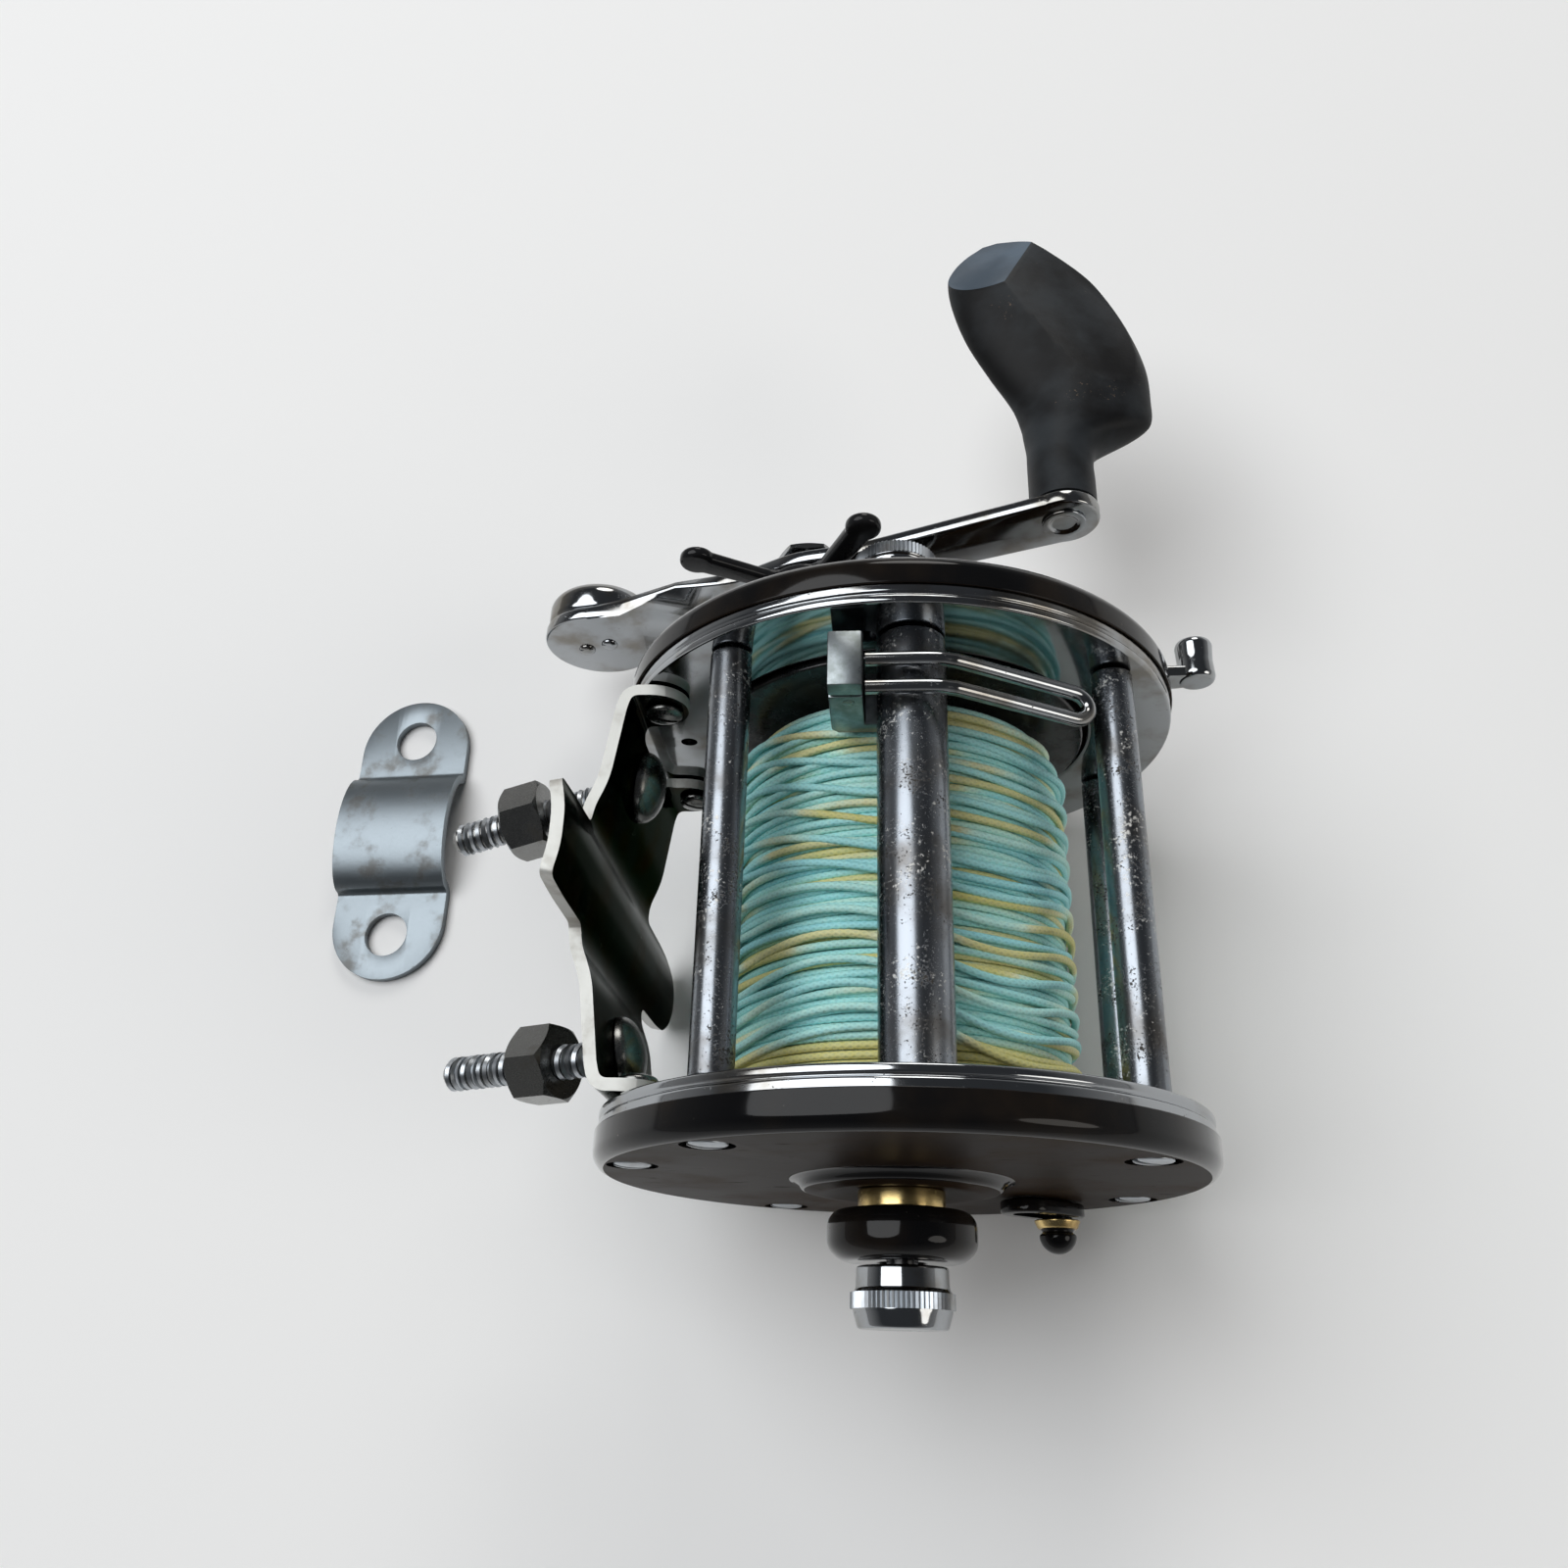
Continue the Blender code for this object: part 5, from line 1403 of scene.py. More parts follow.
@dataclass
class LevelWind:
    """Worm, its half-round shield, and the line carriage with its wire guide."""

    shop: Workshop
    shield_radius: float = 3.9
    shield_wall: float = 1.1
    shield_half_span: float = 112.0
    worm_radius: float = 2.3
    worm_lead: float = 9.0
    worm_rows: int = 240
    worm_sides: int = 40
    worm_grooved: float = 21.5
    worm_shoulder: float = 24.5
    journal_step: float = 0.5
    groove: float = 0.55
    groove_wall: float = 1.6
    groove_width: float = 0.19
    block_width: float = 3.8
    block_bevel: float = 0.8
    wire_radius: float = 0.85
    wire_room: float = 0.9
    wire_pitch: float = 3.4
    wire_shift: float = 1.2
    bend_steps: int = 14
    pin_radius: float = 0.75
    pin_rise: float = 0.2

    def build(self) -> None:
        """Make the shield, the worm and the carriage."""
        self.shield()
        self.worm()
        self.carriage()
        self.shop.dress(Coat.BRASS, "worm_gear", "idler_gear", "spool_gear", "pawl")
        self.shop.dress(Coat.STEEL, "idler_pin")

    def shield(self) -> None:
        """A bar of open, half-round section with softened edges."""
        low, high = self.shop.reel.run("worm_shield")
        axis = self.shop.reel.axis("worm_turn")
        facing = math.degrees(math.atan2(axis[1], axis[0]))
        start, stop = facing - self.shield_half_span, facing + self.shield_half_span
        outline = arc(self.shield_radius, start, stop, 48, axis)
        outline += reversed(arc(self.shield_radius - self.shield_wall, start, stop, 40, axis))
        bar = prism(outline, low, high, 0.25)
        self.shop.place("worm_shield_bar", bar, Coat.PITTED, "frame", ["worm_shield"])

    def worm(self) -> None:
        """A shaft with the crossed grooves of a reversing worm."""
        low, high = self.shop.reel.run("worm_shaft")
        cx, cz = self.shop.reel.axis("worm_turn")
        rings = []
        for row in range(self.worm_rows + 1):
            y = low + (high - low) * row / self.worm_rows
            ring = []
            for k in range(self.worm_sides):
                angle = 2 * math.pi * k / self.worm_sides
                radius = self.worm_surface(angle, y)
                ring.append(Vector((cx + radius * math.cos(angle), y, cz + radius * math.sin(angle))))
            rings.append(ring)
        self.shop.place("crossed_worm", skinned(rings), Coat.STEEL, "worm", ["worm_shaft"])

    def worm_surface(self, angle: float, y: float) -> float:
        """Find the worm's radius at a place.

        Args:
            angle: The place's angle round the worm.
            y: Its place along it.

        Returns:
            The radius, less where a groove runs and on the journals.
        """
        if abs(y) > self.worm_shoulder:
            return self.worm_radius - self.journal_step
        if abs(y) >= self.worm_grooved:
            return self.worm_radius
        cut = 0.0
        for way in (1.0, -1.0):
            phase = angle + way * 2 * math.pi * y / self.worm_lead
            cut = max(cut, self.groove_wall - abs(math.sin(phase / 2)) / self.groove_width)
        return self.worm_radius - self.groove * min(1.0, cut)

    def carriage(self) -> None:
        """The block behind and beside the shield, its cap, its pin and the bent wire guide."""
        reel = self.shop.reel
        low, high = reel.extent("carriage_block")
        arm_top = reel.axis("worm_turn")[1] - self.worm_radius - 0.5
        right, bevel = low.x + self.block_width, self.block_bevel
        outline = [
            (low.x, low.z + bevel), (low.x + bevel, low.z), (high.x, low.z), (high.x, arm_top),
            (right, arm_top), (right, high.z), (low.x, high.z),
        ]
        block = prism(outline, low.y, high.y, 0.22, 2)
        self.shop.place("carriage_body", block, Coat.CARRIAGE, "carriage", ["carriage_block"])
        start, stop = reel.extent("carriage_cap")
        box = [(start.x, start.z), (stop.x, start.z), (stop.x, stop.z), (start.x, stop.z)]
        lid = prism(box, start.y, stop.y, 0.25, 2)
        self.shop.place("carriage_lid", lid, Coat.CARRIAGE, "carriage", ["carriage_cap"])
        root, foot, r = low.y + self.pin_rise, low.y - self.pin_rise, self.pin_radius
        dome = eased([(0.0, root), (r, root), (r, low.y), (0.0, foot)], 0.3)
        pin = lathe(dome, 24, (low.x + 2.2, high.z - 1.3))
        self.shop.place("carriage_pin", pin, Coat.STEEL, "carriage")
        self.wire(right, (low.y + high.y) / 2 - self.wire_shift)

    def wire(self, start: float, middle: float) -> None:
        """Lead one wire over the shield and back, bent round at its far end.

        Args:
            start: The X that it starts from.
            middle: The Y between its two runs.
        """
        reel = self.shop.reel
        low, high = reel.extent("guide_wire")
        axis, room = reel.axis("worm_turn"), self.wire_room
        level = axis[1] + self.shield_radius + room + 0.5
        corner = axis[0] + self.shield_radius + 0.2
        tip = Vector((high.x - room, 0.0, low.z + room))
        knots = [
            (start + GAP, level), (corner - 2.4, level), (corner, level - 0.45),
            (corner + 2.4, level - 1.6), (tip.x - 1.9, tip.z + 1.0),
        ]
        side = smooth_path([Vector((x, 0.0, z)) for x, z in knots], 10)
        last, across = side[-1], Y_AXIS * (self.wire_pitch / 2)
        bend = []
        for k in range(1, self.bend_steps):
            angle = math.pi * k / self.bend_steps
            bend.append(last + (tip - last) * math.sin(angle) + across * math.cos(angle))
        out = [spot + across for spot in side]
        back = [spot - across for spot in reversed(side)]
        path = [spot + Y_AXIS * middle for spot in out + bend + back]
        shape = tube(path, self.wire_radius, 20)
        self.shop.place("wire_guide", shape, Coat.CHROME, "carriage", ["guide_wire"])


def smooth_path(knots: Sequence[Vector], steps: int) -> list[Vector]:
    """A Catmull-Rom curve through knots.

    Args:
        knots: The points that it passes.
        steps: Points between two knots.

    Returns:
        Points along the curve, the ends included.
    """
    points = []
    for index in range(len(knots) - 1):
        a, b = knots[max(index - 1, 0)], knots[index]
        c, d = knots[index + 1], knots[min(index + 2, len(knots) - 1)]
        for k in range(steps):
            share, leave, arrive = hermite(k / steps)
            pull = (c - a) * leave + (d - b) * arrive
            points.append(b * (1 - share) + c * share + pull * 0.5)
    points.append(knots[-1])
    return points


@dataclass(frozen=True)
class Layer:
    """One pass of line across the spool."""

    turns: int
    lift: float
    wave: float
    spread: float


@dataclass
class SpoolAndLine:
    """The dark spool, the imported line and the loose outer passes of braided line."""

    shop: Workshop
    flange_face: float = 24.2
    flange_thick: float = 1.4
    arbor: float = 10.0
    shaft: float = 1.8
    line_radius: float = 0.47
    core_radius: float = 19.2
    core_bore: float = 10.3
    core_turns: int = 48
    pack_half: float = 22.3
    pack_margin: float = 0.6
    shoulder_drop: float = 2.3
    shoulder_length: float = 6.0
    points_per_turn: int = 72
    layers: tuple[Layer, ...] = (
        Layer(47, 0.48, 0.5, 1.0), Layer(19, 1.22, 2.8, 0.95), Layer(12, 1.62, 5.0, 0.86),
    )
    olive: float = 0.93
    olive_from: float = 0.18
    olive_end: float = 18.6

    def build(self) -> None:
        """Make the spool, the pack and the winding."""
        self.spool()
        self.pack()
        self.winding()

    def spool(self) -> None:
        """Turn the spool with its flanges and shaft."""
        reel = self.shop.reel
        low, high = reel.run("spool")
        rim = reel.extent("spool")[1].x
        inner, outer = self.flange_face, self.flange_face + self.flange_thick
        corners = [
            (0.0, low), (self.shaft, low), (self.shaft, -outer), (rim, -outer), (rim, -inner),
            (rim - 2.0, -inner), (self.arbor, -inner), (self.arbor, inner), (rim - 2.0, inner),
            (rim, inner), (rim, outer), (self.shaft, outer), (self.shaft, high), (0.0, high),
        ]
        self.shop.place("spool_body", lathe(eased(corners, 0.35), 112), Coat.SPOOL, "spool", ["spool"])

    def drop(self, y: float) -> float:
        """How far the pack falls away towards its ends, at a place along it."""
        left, right = (max(0.0, 1.0 - (self.pack_half + s * y) / self.shoulder_length) for s in (1, -1))
        return self.shoulder_drop * (right * right + 0.25 * left * left)

    def pack(self) -> None:
        """The line under the outer passes: a barrel of turns that lie side by side."""
        pitch = 2 * self.pack_half / self.core_turns
        profile: Outline = []
        for turn in range(self.core_turns):
            for k in range(5):
                y = -self.pack_half + pitch * (turn + k / 5)
                bulge = self.line_radius * (math.sin(math.pi * k / 5) - 1.0)
                profile.append((self.core_radius - self.drop(y) + bulge, y))
        profile += [(self.core_bore, self.pack_half), (self.core_bore, -self.pack_half)]
        shape = lathe(profile)
        lay = shape.loops.layers.uv.new("lay")
        dye = shape.verts.layers.float.new("tint")
        for vertex in shape.verts:
            vertex[dye] = 0.55 + 0.5 * noise.noise(vertex.co * 0.25)
        for face in shape.faces:
            for loop in face.loops:
                spot = loop.vert.co
                loop[lay].uv = (math.atan2(spot.z, spot.x) * self.core_radius, spot.y / pitch * 0.5)
        self.shop.place("packed_line", shape, Coat.UNDER, "spool", ["line_core"])

    def path(self) -> tuple[list[Vector], list[float]]:
        """The winding's centreline and its dye, pass after pass in one unbroken run."""
        points: list[Vector] = []
        dyes: list[float] = []
        turn_base = 0
        way = 1.0
        end = self.pack_half - self.pack_margin
        for layer in self.layers:
            total = layer.turns * self.points_per_turn
            half = (self.pack_half - self.line_radius) * layer.spread
            for step in range(total):
                share = step / total
                turn = turn_base + step / self.points_per_turn
                angle = 2 * math.pi * turn
                place = Vector((math.cos(angle) * 0.9, math.sin(angle) * 0.9, turn * 0.13))
                y = way * half * (2 * share - 1) + layer.wave * noise.noise(place)
                y = max(-end, min(end, y))
                lift = layer.lift + 0.22 * noise.noise(place * 1.7 + Vector((5.0, 0.0, 0.0)))
                radius = self.core_radius - self.drop(y) + lift
                points.append(Vector((radius * math.cos(angle), y, radius * math.sin(angle))))
                dyes.append(self.dye(turn, y))
            turn_base += layer.turns
            way = -way
        return points, dyes

    def dye(self, turn: float, y: float) -> float:
        """Pick the dye at a place: mostly blue-green, with olive stretches and an olive end.

        Args:
            turn: The turn of line, counted from the first.
            y: The place along the spool.

        Returns:
            The place on the line's ramp of dyes.
        """
        stretch = noise.noise(Vector((turn * 5.3, 3.7, 0.0)))
        slow = noise.noise(Vector((turn * 0.6, 9.1, 4.0)))
        value = 0.27 + 0.26 * slow
        if stretch > self.olive_from:
            value += min(1.0, (stretch - self.olive_from) / 0.2) * 0.58
        share = max(0.0, min(1.0, -y - self.olive_end))
        return value * (1 - share) + self.olive * share

    def winding(self) -> None:
        """Sweep the line along its passes."""
        points, dyes = self.path()
        shape = tube(points, self.line_radius, 8, dyes)
        self.shop.place("wound_line", shape, Coat.LINE, "spool", ["line_winding"], sharp=80.0)


@dataclass
class BearingCaps:
    """The knurled caps over the spool's bearings."""

    shop: Workshop
    radius: float = 5.7
    seat_depth: float = 1.1
    band_half: float = 0.9
    ridges: int = 64
    ridge: float = 0.40
    ridge_length: float = 1.7
    ridge_sink: float = 0.14
    knurl_inset: tuple[tuple[Side, float], ...] = ((Side.LEFT, 2.9), (Side.RIGHT, 1.0))

    def build(self) -> None:
        """Turn both caps and ridge them."""
        for side, inset in self.knurl_inset:
            low, high = self.shop.reel.run(f"cap_{side.value}")
            start, end = (low, high) if side is Side.RIGHT else (-high, -low)
            r, foot, band = self.radius, start - self.seat_depth, end - inset
            rear, front = band - self.band_half, band + self.band_half
            corners = [
                (0.0, foot), (r - 0.55, foot), (r - 0.45, rear - 0.3), (r - 0.12, rear), (r - 0.12, front),
                (r - 0.4, (front + end) / 2), (r - 0.7, end), (r - 1.9, end - 0.05), (0.0, end - 0.3),
            ]
            body = lathe(side.turned(eased(corners, 0.35)))
            name = f"{side.value}_cap"
            self.shop.place(name, body, Coat.CHROME, name, [f"cap_{side.value}"])
            knurl = self.shop.knurl.grow(
                Count=self.ridges, Radius=r - self.ridge_sink, Ridge=self.ridge,
                Length=self.ridge_length, Material=self.shop.materials[Coat.ZINC],
            )
            turn = Matrix.Translation(Y_AXIS * side.sign * band) @ Z_TO_Y
            self.shop.place(f"{side.value}_cap_knurl", knurl, Coat.ZINC, name, local=turn, sharp=20.0)


@dataclass
class ClickSwitch:
    """The bush plate and the sliding button of the click."""

    shop: Workshop
    bush_radius: float = 3.4
    collar_radius: float = 2.9
    collar_bore: float = 1.0
    collar_height: float = 1.1
    stem: float = 1.6
    ball: float = 2.3

    def build(self) -> None:
        """Make the bush and the button with its brass collar."""
        reel = self.shop.reel
        low, high = reel.run("click_bush")
        plate = prism(reel.click_slot(self.bush_radius), low, high, 0.35)
        slot = prism(reel.click_slot(CLICK_SLOT_RADIUS), low - PAST, high + PAST)
        mesh = carved(plate, ("DIFFERENCE", slot))
        self.shop.place("click_plate", mesh, Coat.BLACK, "frame", ["click_bush"])
        tip, root = reel.run("click_button")
        spot = reel.middle("click_button")
        skirt = low - GAP
        foot, bore, rim = skirt - self.collar_height, self.collar_bore, self.collar_radius
        collar = [(bore, skirt), (rim, skirt), (rim - 0.5, foot), (bore, foot)]
        self.shop.place("click_collar", lathe(eased(collar, 0.3, True), 48, spot), Coat.BRASS, "click")
        knob = [(0.0, root), (self.stem, root), (self.stem, skirt - 0.2)]
        knob += [(2.2, skirt - 1.0), (1.8, skirt - 1.4), *crown(self.ball, tip + 1.4, -2.2, 8)]
        shape = lathe(eased(knob, 0.4), 48, spot)
        self.shop.place("click_knob", shape, Coat.BLACK, "click", ["click_button"])


@dataclass
class StarDrag:
    """The star wheel that sets the drag."""

    shop: Workshop
    arms: int = 4
    phase: float = 61.0
    reach: float = 20.2
    hub: float = 6.5
    hub_sink: float = 0.15
    half_width: float = 1.6
    knob: float = 2.5
    knob_half_span: float = 130.0
    thick: float = 1.8

    def build(self) -> None:
        """Cut the star with rounded arms, on its hub."""
        low, high = self.shop.reel.run("star_drag")
        axis = self.shop.reel.axis("star_turn")
        neck, span = math.degrees(self.half_width / self.hub), self.knob_half_span
        outline: Outline = []
        for arm in range(self.arms):
            middle = self.phase + 360.0 * arm / self.arms
            tip = polar(self.reach - self.knob, middle)
            outline.append(polar(self.hub, middle - neck))
            outline += arc(self.knob, middle - span, middle + span, 20, tip)
            outline.append(polar(self.hub, middle + neck))
        wheel = prism(moved(eased(outline, 1.6, True, 4), axis), high - self.thick, high, 0.7, 4)
        rim, top = self.hub - GAP, high - self.hub_sink
        hub = lathe(eased([(0.0, low), (rim, low), (rim, top), (0.0, top)], 0.6), 64, axis)
        mesh = carved(wheel, ("UNION", hub), drill(CRANK_BORE, low - PAST, high + PAST, axis))
        self.shop.place("star_wheel", mesh, Coat.STAR, "star", ["star_drag"])


@dataclass
class Crank:
    """The counterbalanced handle arm, its weight, nut, knob spindle and paddle grip."""

    shop: Workshop
    eye: float = 4.9
    half_width: float = 4.2
    end_half_span: float = 105.0
    weight_throw: float = 36.5
    weight_foot: float = 8.6
    weight_cut: float = 2.2
    folds: Point = (-19.6, -28.4)
    foot_dip: float = 2.6
    arm_thin: float = 0.6
    rivet: float = 1.3
    rivet_rise: float = 0.7
    rivet_places: Point = (-2.4, 1.8)
    nut_radius: float = 5.0
    nut_thick: float = 0.9
    sleeve: float = 3.0
    spindle: float = 2.0
    spindle_head: float = 3.0
    ferrule: float = 4.1
    ferrule_length: float = 2.6
    grip_depth: float = 4.6
    grip_bore_depth: float = 27.0
    grip_rows: int = 96
    grip_sides: int = 64
    sections: tuple[tuple[float, float, float, float, float], ...] = (
        (0.00, -4.5, 4.7, 0.0, 1.00), (0.09, -4.5, 4.8, 0.0, 1.00), (0.13, -4.5, 6.3, 0.2, 1.00),
        (0.18, -4.8, 11.2, 0.6, 1.00), (0.215, -5.0, 13.1, 1.0, 1.02), (0.30, -6.2, 13.5, 2.2, 1.06),
        (0.42, -9.2, 13.3, 1.8, 1.08), (0.56, -12.3, 11.6, -1.0, 1.10), (0.70, -14.2, 8.8, -4.2, 1.10),
        (0.80, -14.7, 5.9, -6.0, 1.08), (0.90, -13.9, 1.0, -6.6, 1.04), (0.96, -12.2, -3.2, -7.0, 0.92),
        (1.00, -9.6, -6.6, -8.0, 0.62),
    )
    ridge: tuple[Triple, Triple] = ((-6.7, 95.9, 4.8), (0.26, 0.16, 0.95))
    facet: tuple[Triple, Triple] = ((-14.5, 92.8, 3.5), (-0.29, 0.38, 0.88))

    def build(self) -> None:
        """Make the arm, what is riveted to it and the grip."""
        self.arm()
        self.weight()
        self.hub()
        self.knob()
        self.grip()

    def outline(self) -> Outline:
        """The arm's outline along X, from its eye over its wide middle to its round foot."""
        eye = Vector(self.shop.reel.axis("grip_spin")) - Vector(self.shop.reel.axis("crank_turn"))
        wide, span = self.half_width, self.end_half_span
        points: Outline = []
        ends = ((1.0, eye.length, self.eye), (-1.0, self.weight_throw, self.weight_foot))
        for side, throw, radius in ends:
            middle = 90.0 - 90.0 * side
            points += arc(radius, middle - span, middle + span, 28, (side * throw, 0.0))
            waist = side * wide * 2.2
            points += [(waist, side * wide), (0.0, side * (wide + 1.6)), (-waist, side * wide)]
        return eased(points, 2.5, True, 3)

    def turn(self) -> Matrix:
        """The turn from along X to the arm's own angle, about the crank's axis."""
        (x, z), (eye_x, eye_z) = (self.shop.reel.axis(joint) for joint in ("crank_turn", "grip_spin"))
        angle = math.atan2(eye_z - z, eye_x - x)
        return Matrix.Translation((x, 0.0, z)) @ Matrix.Rotation(-angle, 4, "Y")

    def arm(self) -> None:
        """The flat arm with its eye and its round foot, which two folds set lower."""
        reel = self.shop.reel
        low, high = reel.run("handle_arm")
        start, stop = low - PAST, high + PAST
        blank = prism(self.outline(), low, high - self.arm_thin)
        for fold in self.folds:
            crease(blank, (fold, 0.0, 0.0), (1.0, 0.0, 0.0))
        near, far = self.folds
        for vertex in blank.verts:
            share = max(0.0, min(1.0, (near - vertex.co.x) / (near - far)))
            vertex.co.y -= self.foot_dip * share
        soften(blank, 0.4, 3, 50.0)
        blank.transform(self.turn())
        mesh = carved(
            blank, drill(CRANK_BORE, start, stop, reel.axis("crank_turn")),
            drill(self.spindle + GAP, start, stop, reel.axis("grip_spin")),
        )
        self.shop.place("crank_arm", mesh, Coat.CHROME, "crank", ["handle_arm"])

    def weight(self) -> None:
        """The counterweight on the arm's foot, and the two rivets under it."""
        low, high = self.shop.reel.run("handle_arm")
        base = high - self.arm_thin - self.foot_dip + 0.05
        top = self.shop.reel.run("handle_weight")[1] - self.foot_dip - self.weight_cut
        r = self.weight_foot - 0.3
        corners = [(0.0, base), (r, base), (r, top - 1.6), (r - 1.7, top), (0.0, top)]
        shape = lathe(eased(corners, 1.2), 80, self.shop.reel.middle("handle_weight"))
        self.shop.place("counterweight", shape, Coat.CHROME, "crank", ["handle_weight"])
        head = lathe([(0.0, 0.3)] + crown(self.rivet, 0.0, -self.rivet_rise, 8), 32)
        under, turn = low - self.foot_dip - 0.02, self.turn()
        spots = [turn @ Vector((place - self.weight_throw, under, 0.0)) for place in self.rivet_places]
        mesh = self.shop.scatter(as_mesh(head, "rivet"), spots, (0.0, 0.0, 0.0), Coat.CHROME)
        self.shop.place("weight_rivets", mesh, Coat.CHROME, "crank")

    def hub(self) -> None:
        """The chamfered nut on the crank's sleeve, and the sleeve."""
        reel = self.shop.reel
        axis = reel.axis("crank_turn")
        low, high = reel.run("handle_nut")
        low -= self.arm_thin
        top = min(high, low + self.nut_thick)
        nut = hex_nut(self.nut_radius, low, top, axis, 0.0)
        self.shop.place("crank_nut", nut, Coat.CHROME, "crank", ["handle_nut"])
        low, high = reel.run("crank_sleeve")
        r, high = self.sleeve, min(high, top - 0.3)
        sleeve = lathe(eased([(0.0, low), (r, low), (r, high), (0.0, high)], 0.4), 48, axis)
        self.shop.place("crank_tube", sleeve, Coat.STEEL, "crank", ["crank_sleeve"])

    def knob(self) -> None:
        """The riveted spindle with its bright ferrule."""
        end = self.shop.reel.run("knob_spindle")[1]
        back, face = self.shop.reel.run("handle_arm")
        base, seat = face - self.arm_thin + 0.1, face + GAP + self.ferrule_length
        r, head, ferrule = self.spindle, self.spindle_head, self.ferrule
        corners = [
            (0.0, back - 0.1), (1.7, back - 0.1), (2.1, back - 0.4), (head, back - 0.4),
            (head, back - 0.05), (r, back - 0.05), (r, base), (ferrule, base), (ferrule, seat),
            (r, seat), (r, end), (0.0, end),
        ]
        shape = lathe(eased(corners, 0.35), 64, self.shop.reel.axis("grip_spin"))
        self.shop.place("knob_post", shape, Coat.CHROME, "crank", ["knob_spindle"])

    def station(self, share: float) -> tuple[float, ...]:
        """Blend the grip's sections at a place along it.

        Args:
            share: The place, as a share of the grip's length below 1.

        Returns:
            Its left edge, right edge, crest and thickness there.
        """
        places = [section[0] for section in self.sections]
        knots = [Vector(section[1:]) for section in self.sections]
        index = max(k for k in range(len(places) - 1) if places[k] <= share)
        width = places[index + 1] - places[index]
        slopes = []
        for k in (index, index + 1):
            low, high = max(k - 1, 0), min(k + 1, len(places) - 1)
            slopes.append((knots[high] - knots[low]) * (width / (places[high] - places[low])))
        rise, leave, arrive = hermite((share - places[index]) / width)
        pull = slopes[0] * leave + slopes[1] * arrive
        return tuple(knots[index] * (1 - rise) + knots[index + 1] * rise + pull)

    def grip(self) -> None:
        """Loft the paddle: a round neck, a blade with a slanting crest, a square shoulder and a cut end."""
        low, high = self.shop.reel.run("grip")
        axis = self.shop.reel.axis("grip_spin")
        middle = Vector((axis[0], 0.0, axis[1]))
        foot = self.shop.reel.run("handle_arm")[1] - self.arm_thin + 0.35
        rings = []
        for row in range(-1, self.grip_rows + 1):
            along = row / self.grip_rows
            left, right, crest, thick = self.station(max(0.0, min(along, 0.9999)))
            flat = max(0.0, min(1.0, (along - 0.10) / 0.16))
            y = low + (high - low) * along if row >= 0 else foot
            ring = []
            for k in range(self.grip_sides):
                angle = 2 * math.pi * k / self.grip_sides
                c, s = math.cos(angle), math.sin(angle)
                reach = (right - crest) if c > 0 else (crest - left)
                x = crest + math.copysign(abs(c) ** (1.0 + 0.12 * flat), c) * reach
                z = math.copysign(abs(s) ** (1.0 + 0.25 * flat), s) * self.grip_depth * thick
                ring.append(middle + Vector((x, y, z)))
            rings.append(ring)
        work = skinned(rings)
        for spot, way in (self.ridge, self.facet):
            crease(work, middle + Vector(spot), way, True)
            bmesh.ops.holes_fill(work, edges=[edge for edge in work.edges if edge.is_boundary])
        bmesh.ops.recalc_face_normals(work, faces=work.faces[:])
        mesh = carved(
            work, drill(self.spindle + GAP, low - PAST, low + self.grip_bore_depth, axis),
            drill(self.ferrule + 0.15, foot - PAST, low, axis, 36),
        )
        mark_flats(mesh, Vector(self.facet[1]).normalized(), 0.9995)
        self.shop.place("paddle_grip", mesh, Coat.GRIP, "grip_body", ["grip"], sharp=38.0)


def hex_nut(
    corner: float, low: float, high: float, centre: Point, bore: float, turn: float = 0.0,
) -> bpy.types.Mesh:
    """A chamfered hexagon nut along Y.

    Args:
        corner: Its radius over corners.
        low: Where it starts.
        high: Where it ends.
        centre: Its axis's X and Z.
        bore: Radius of its hole, or 0.
        turn: Angle of its first corner, in degrees.

    Returns:
        The nut's mesh.
    """
    flat, rim = corner * math.cos(math.radians(30.0)), corner + 0.1
    drop = min((corner - flat) * 0.85, (high - low) * 0.3)
    cone = [(0.0, low), (flat, low), (rim, low + drop), (rim, high - drop), (flat, high), (0.0, high)]
    tools = [("INTERSECT", lathe(cone, 72, centre))]
    if bore > 0.0:
        tools.append(drill(bore, low - PAST, high + PAST, centre))
    return carved(prism(arc(corner, turn, turn + 300.0, 5, centre), low - 0.05, high + 0.05), *tools)


@dataclass
class FreeSpoolLever:
    """The small lever with its peg on the right plate's rim."""

    shop: Workshop
    peg: float = 2.4
    peg_cut: float = 1.4
    neck: float = 1.7
    hub: float = 2.3

    def build(self) -> None:
        """Make the lever and its peg."""
        reel = self.shop.reel
        low, high = reel.run("free_spool_lever")
        axis, spot = reel.axis("lever_throw"), reel.middle("lever_peg")
        way = Vector(spot) - Vector(axis)
        angle = math.degrees(math.atan2(way.y, way.x))
        outline = arc(self.neck, -90.0, 90.0, 16, (way.length, 0.0)) + arc(self.hub, 90.0, 270.0, 16)
        blade = prism(moved(rotated(outline, angle), axis), low, high, 0.35)
        self.shop.place("lever_blade", blade, Coat.CHROME, "lever", ["free_spool_lever"])
        top = reel.run("lever_peg")[1] - self.peg_cut
        r, foot = self.peg, low - 0.2
        corners = [
            (0.0, foot), (r - 0.3, foot), (r, foot + 0.6), (r - 0.15, (foot + top) / 2), (r, top - 0.6),
            (r - 0.3, top), (0.0, top),
        ]
        knob = lathe(eased(corners, 0.4), 56, spot)
        self.shop.place("lever_knob", knob, Coat.CHROME, "lever", ["lever_peg"])
        self.shop.dress(Coat.STEEL, "lever_pivot")


@dataclass(frozen=True)
class StudPose:
    """How a loose stud hangs: its lean back and along the spool, in degrees, and its nut's place."""

    side: Side
    droop: float
    sway: float
    nut: float


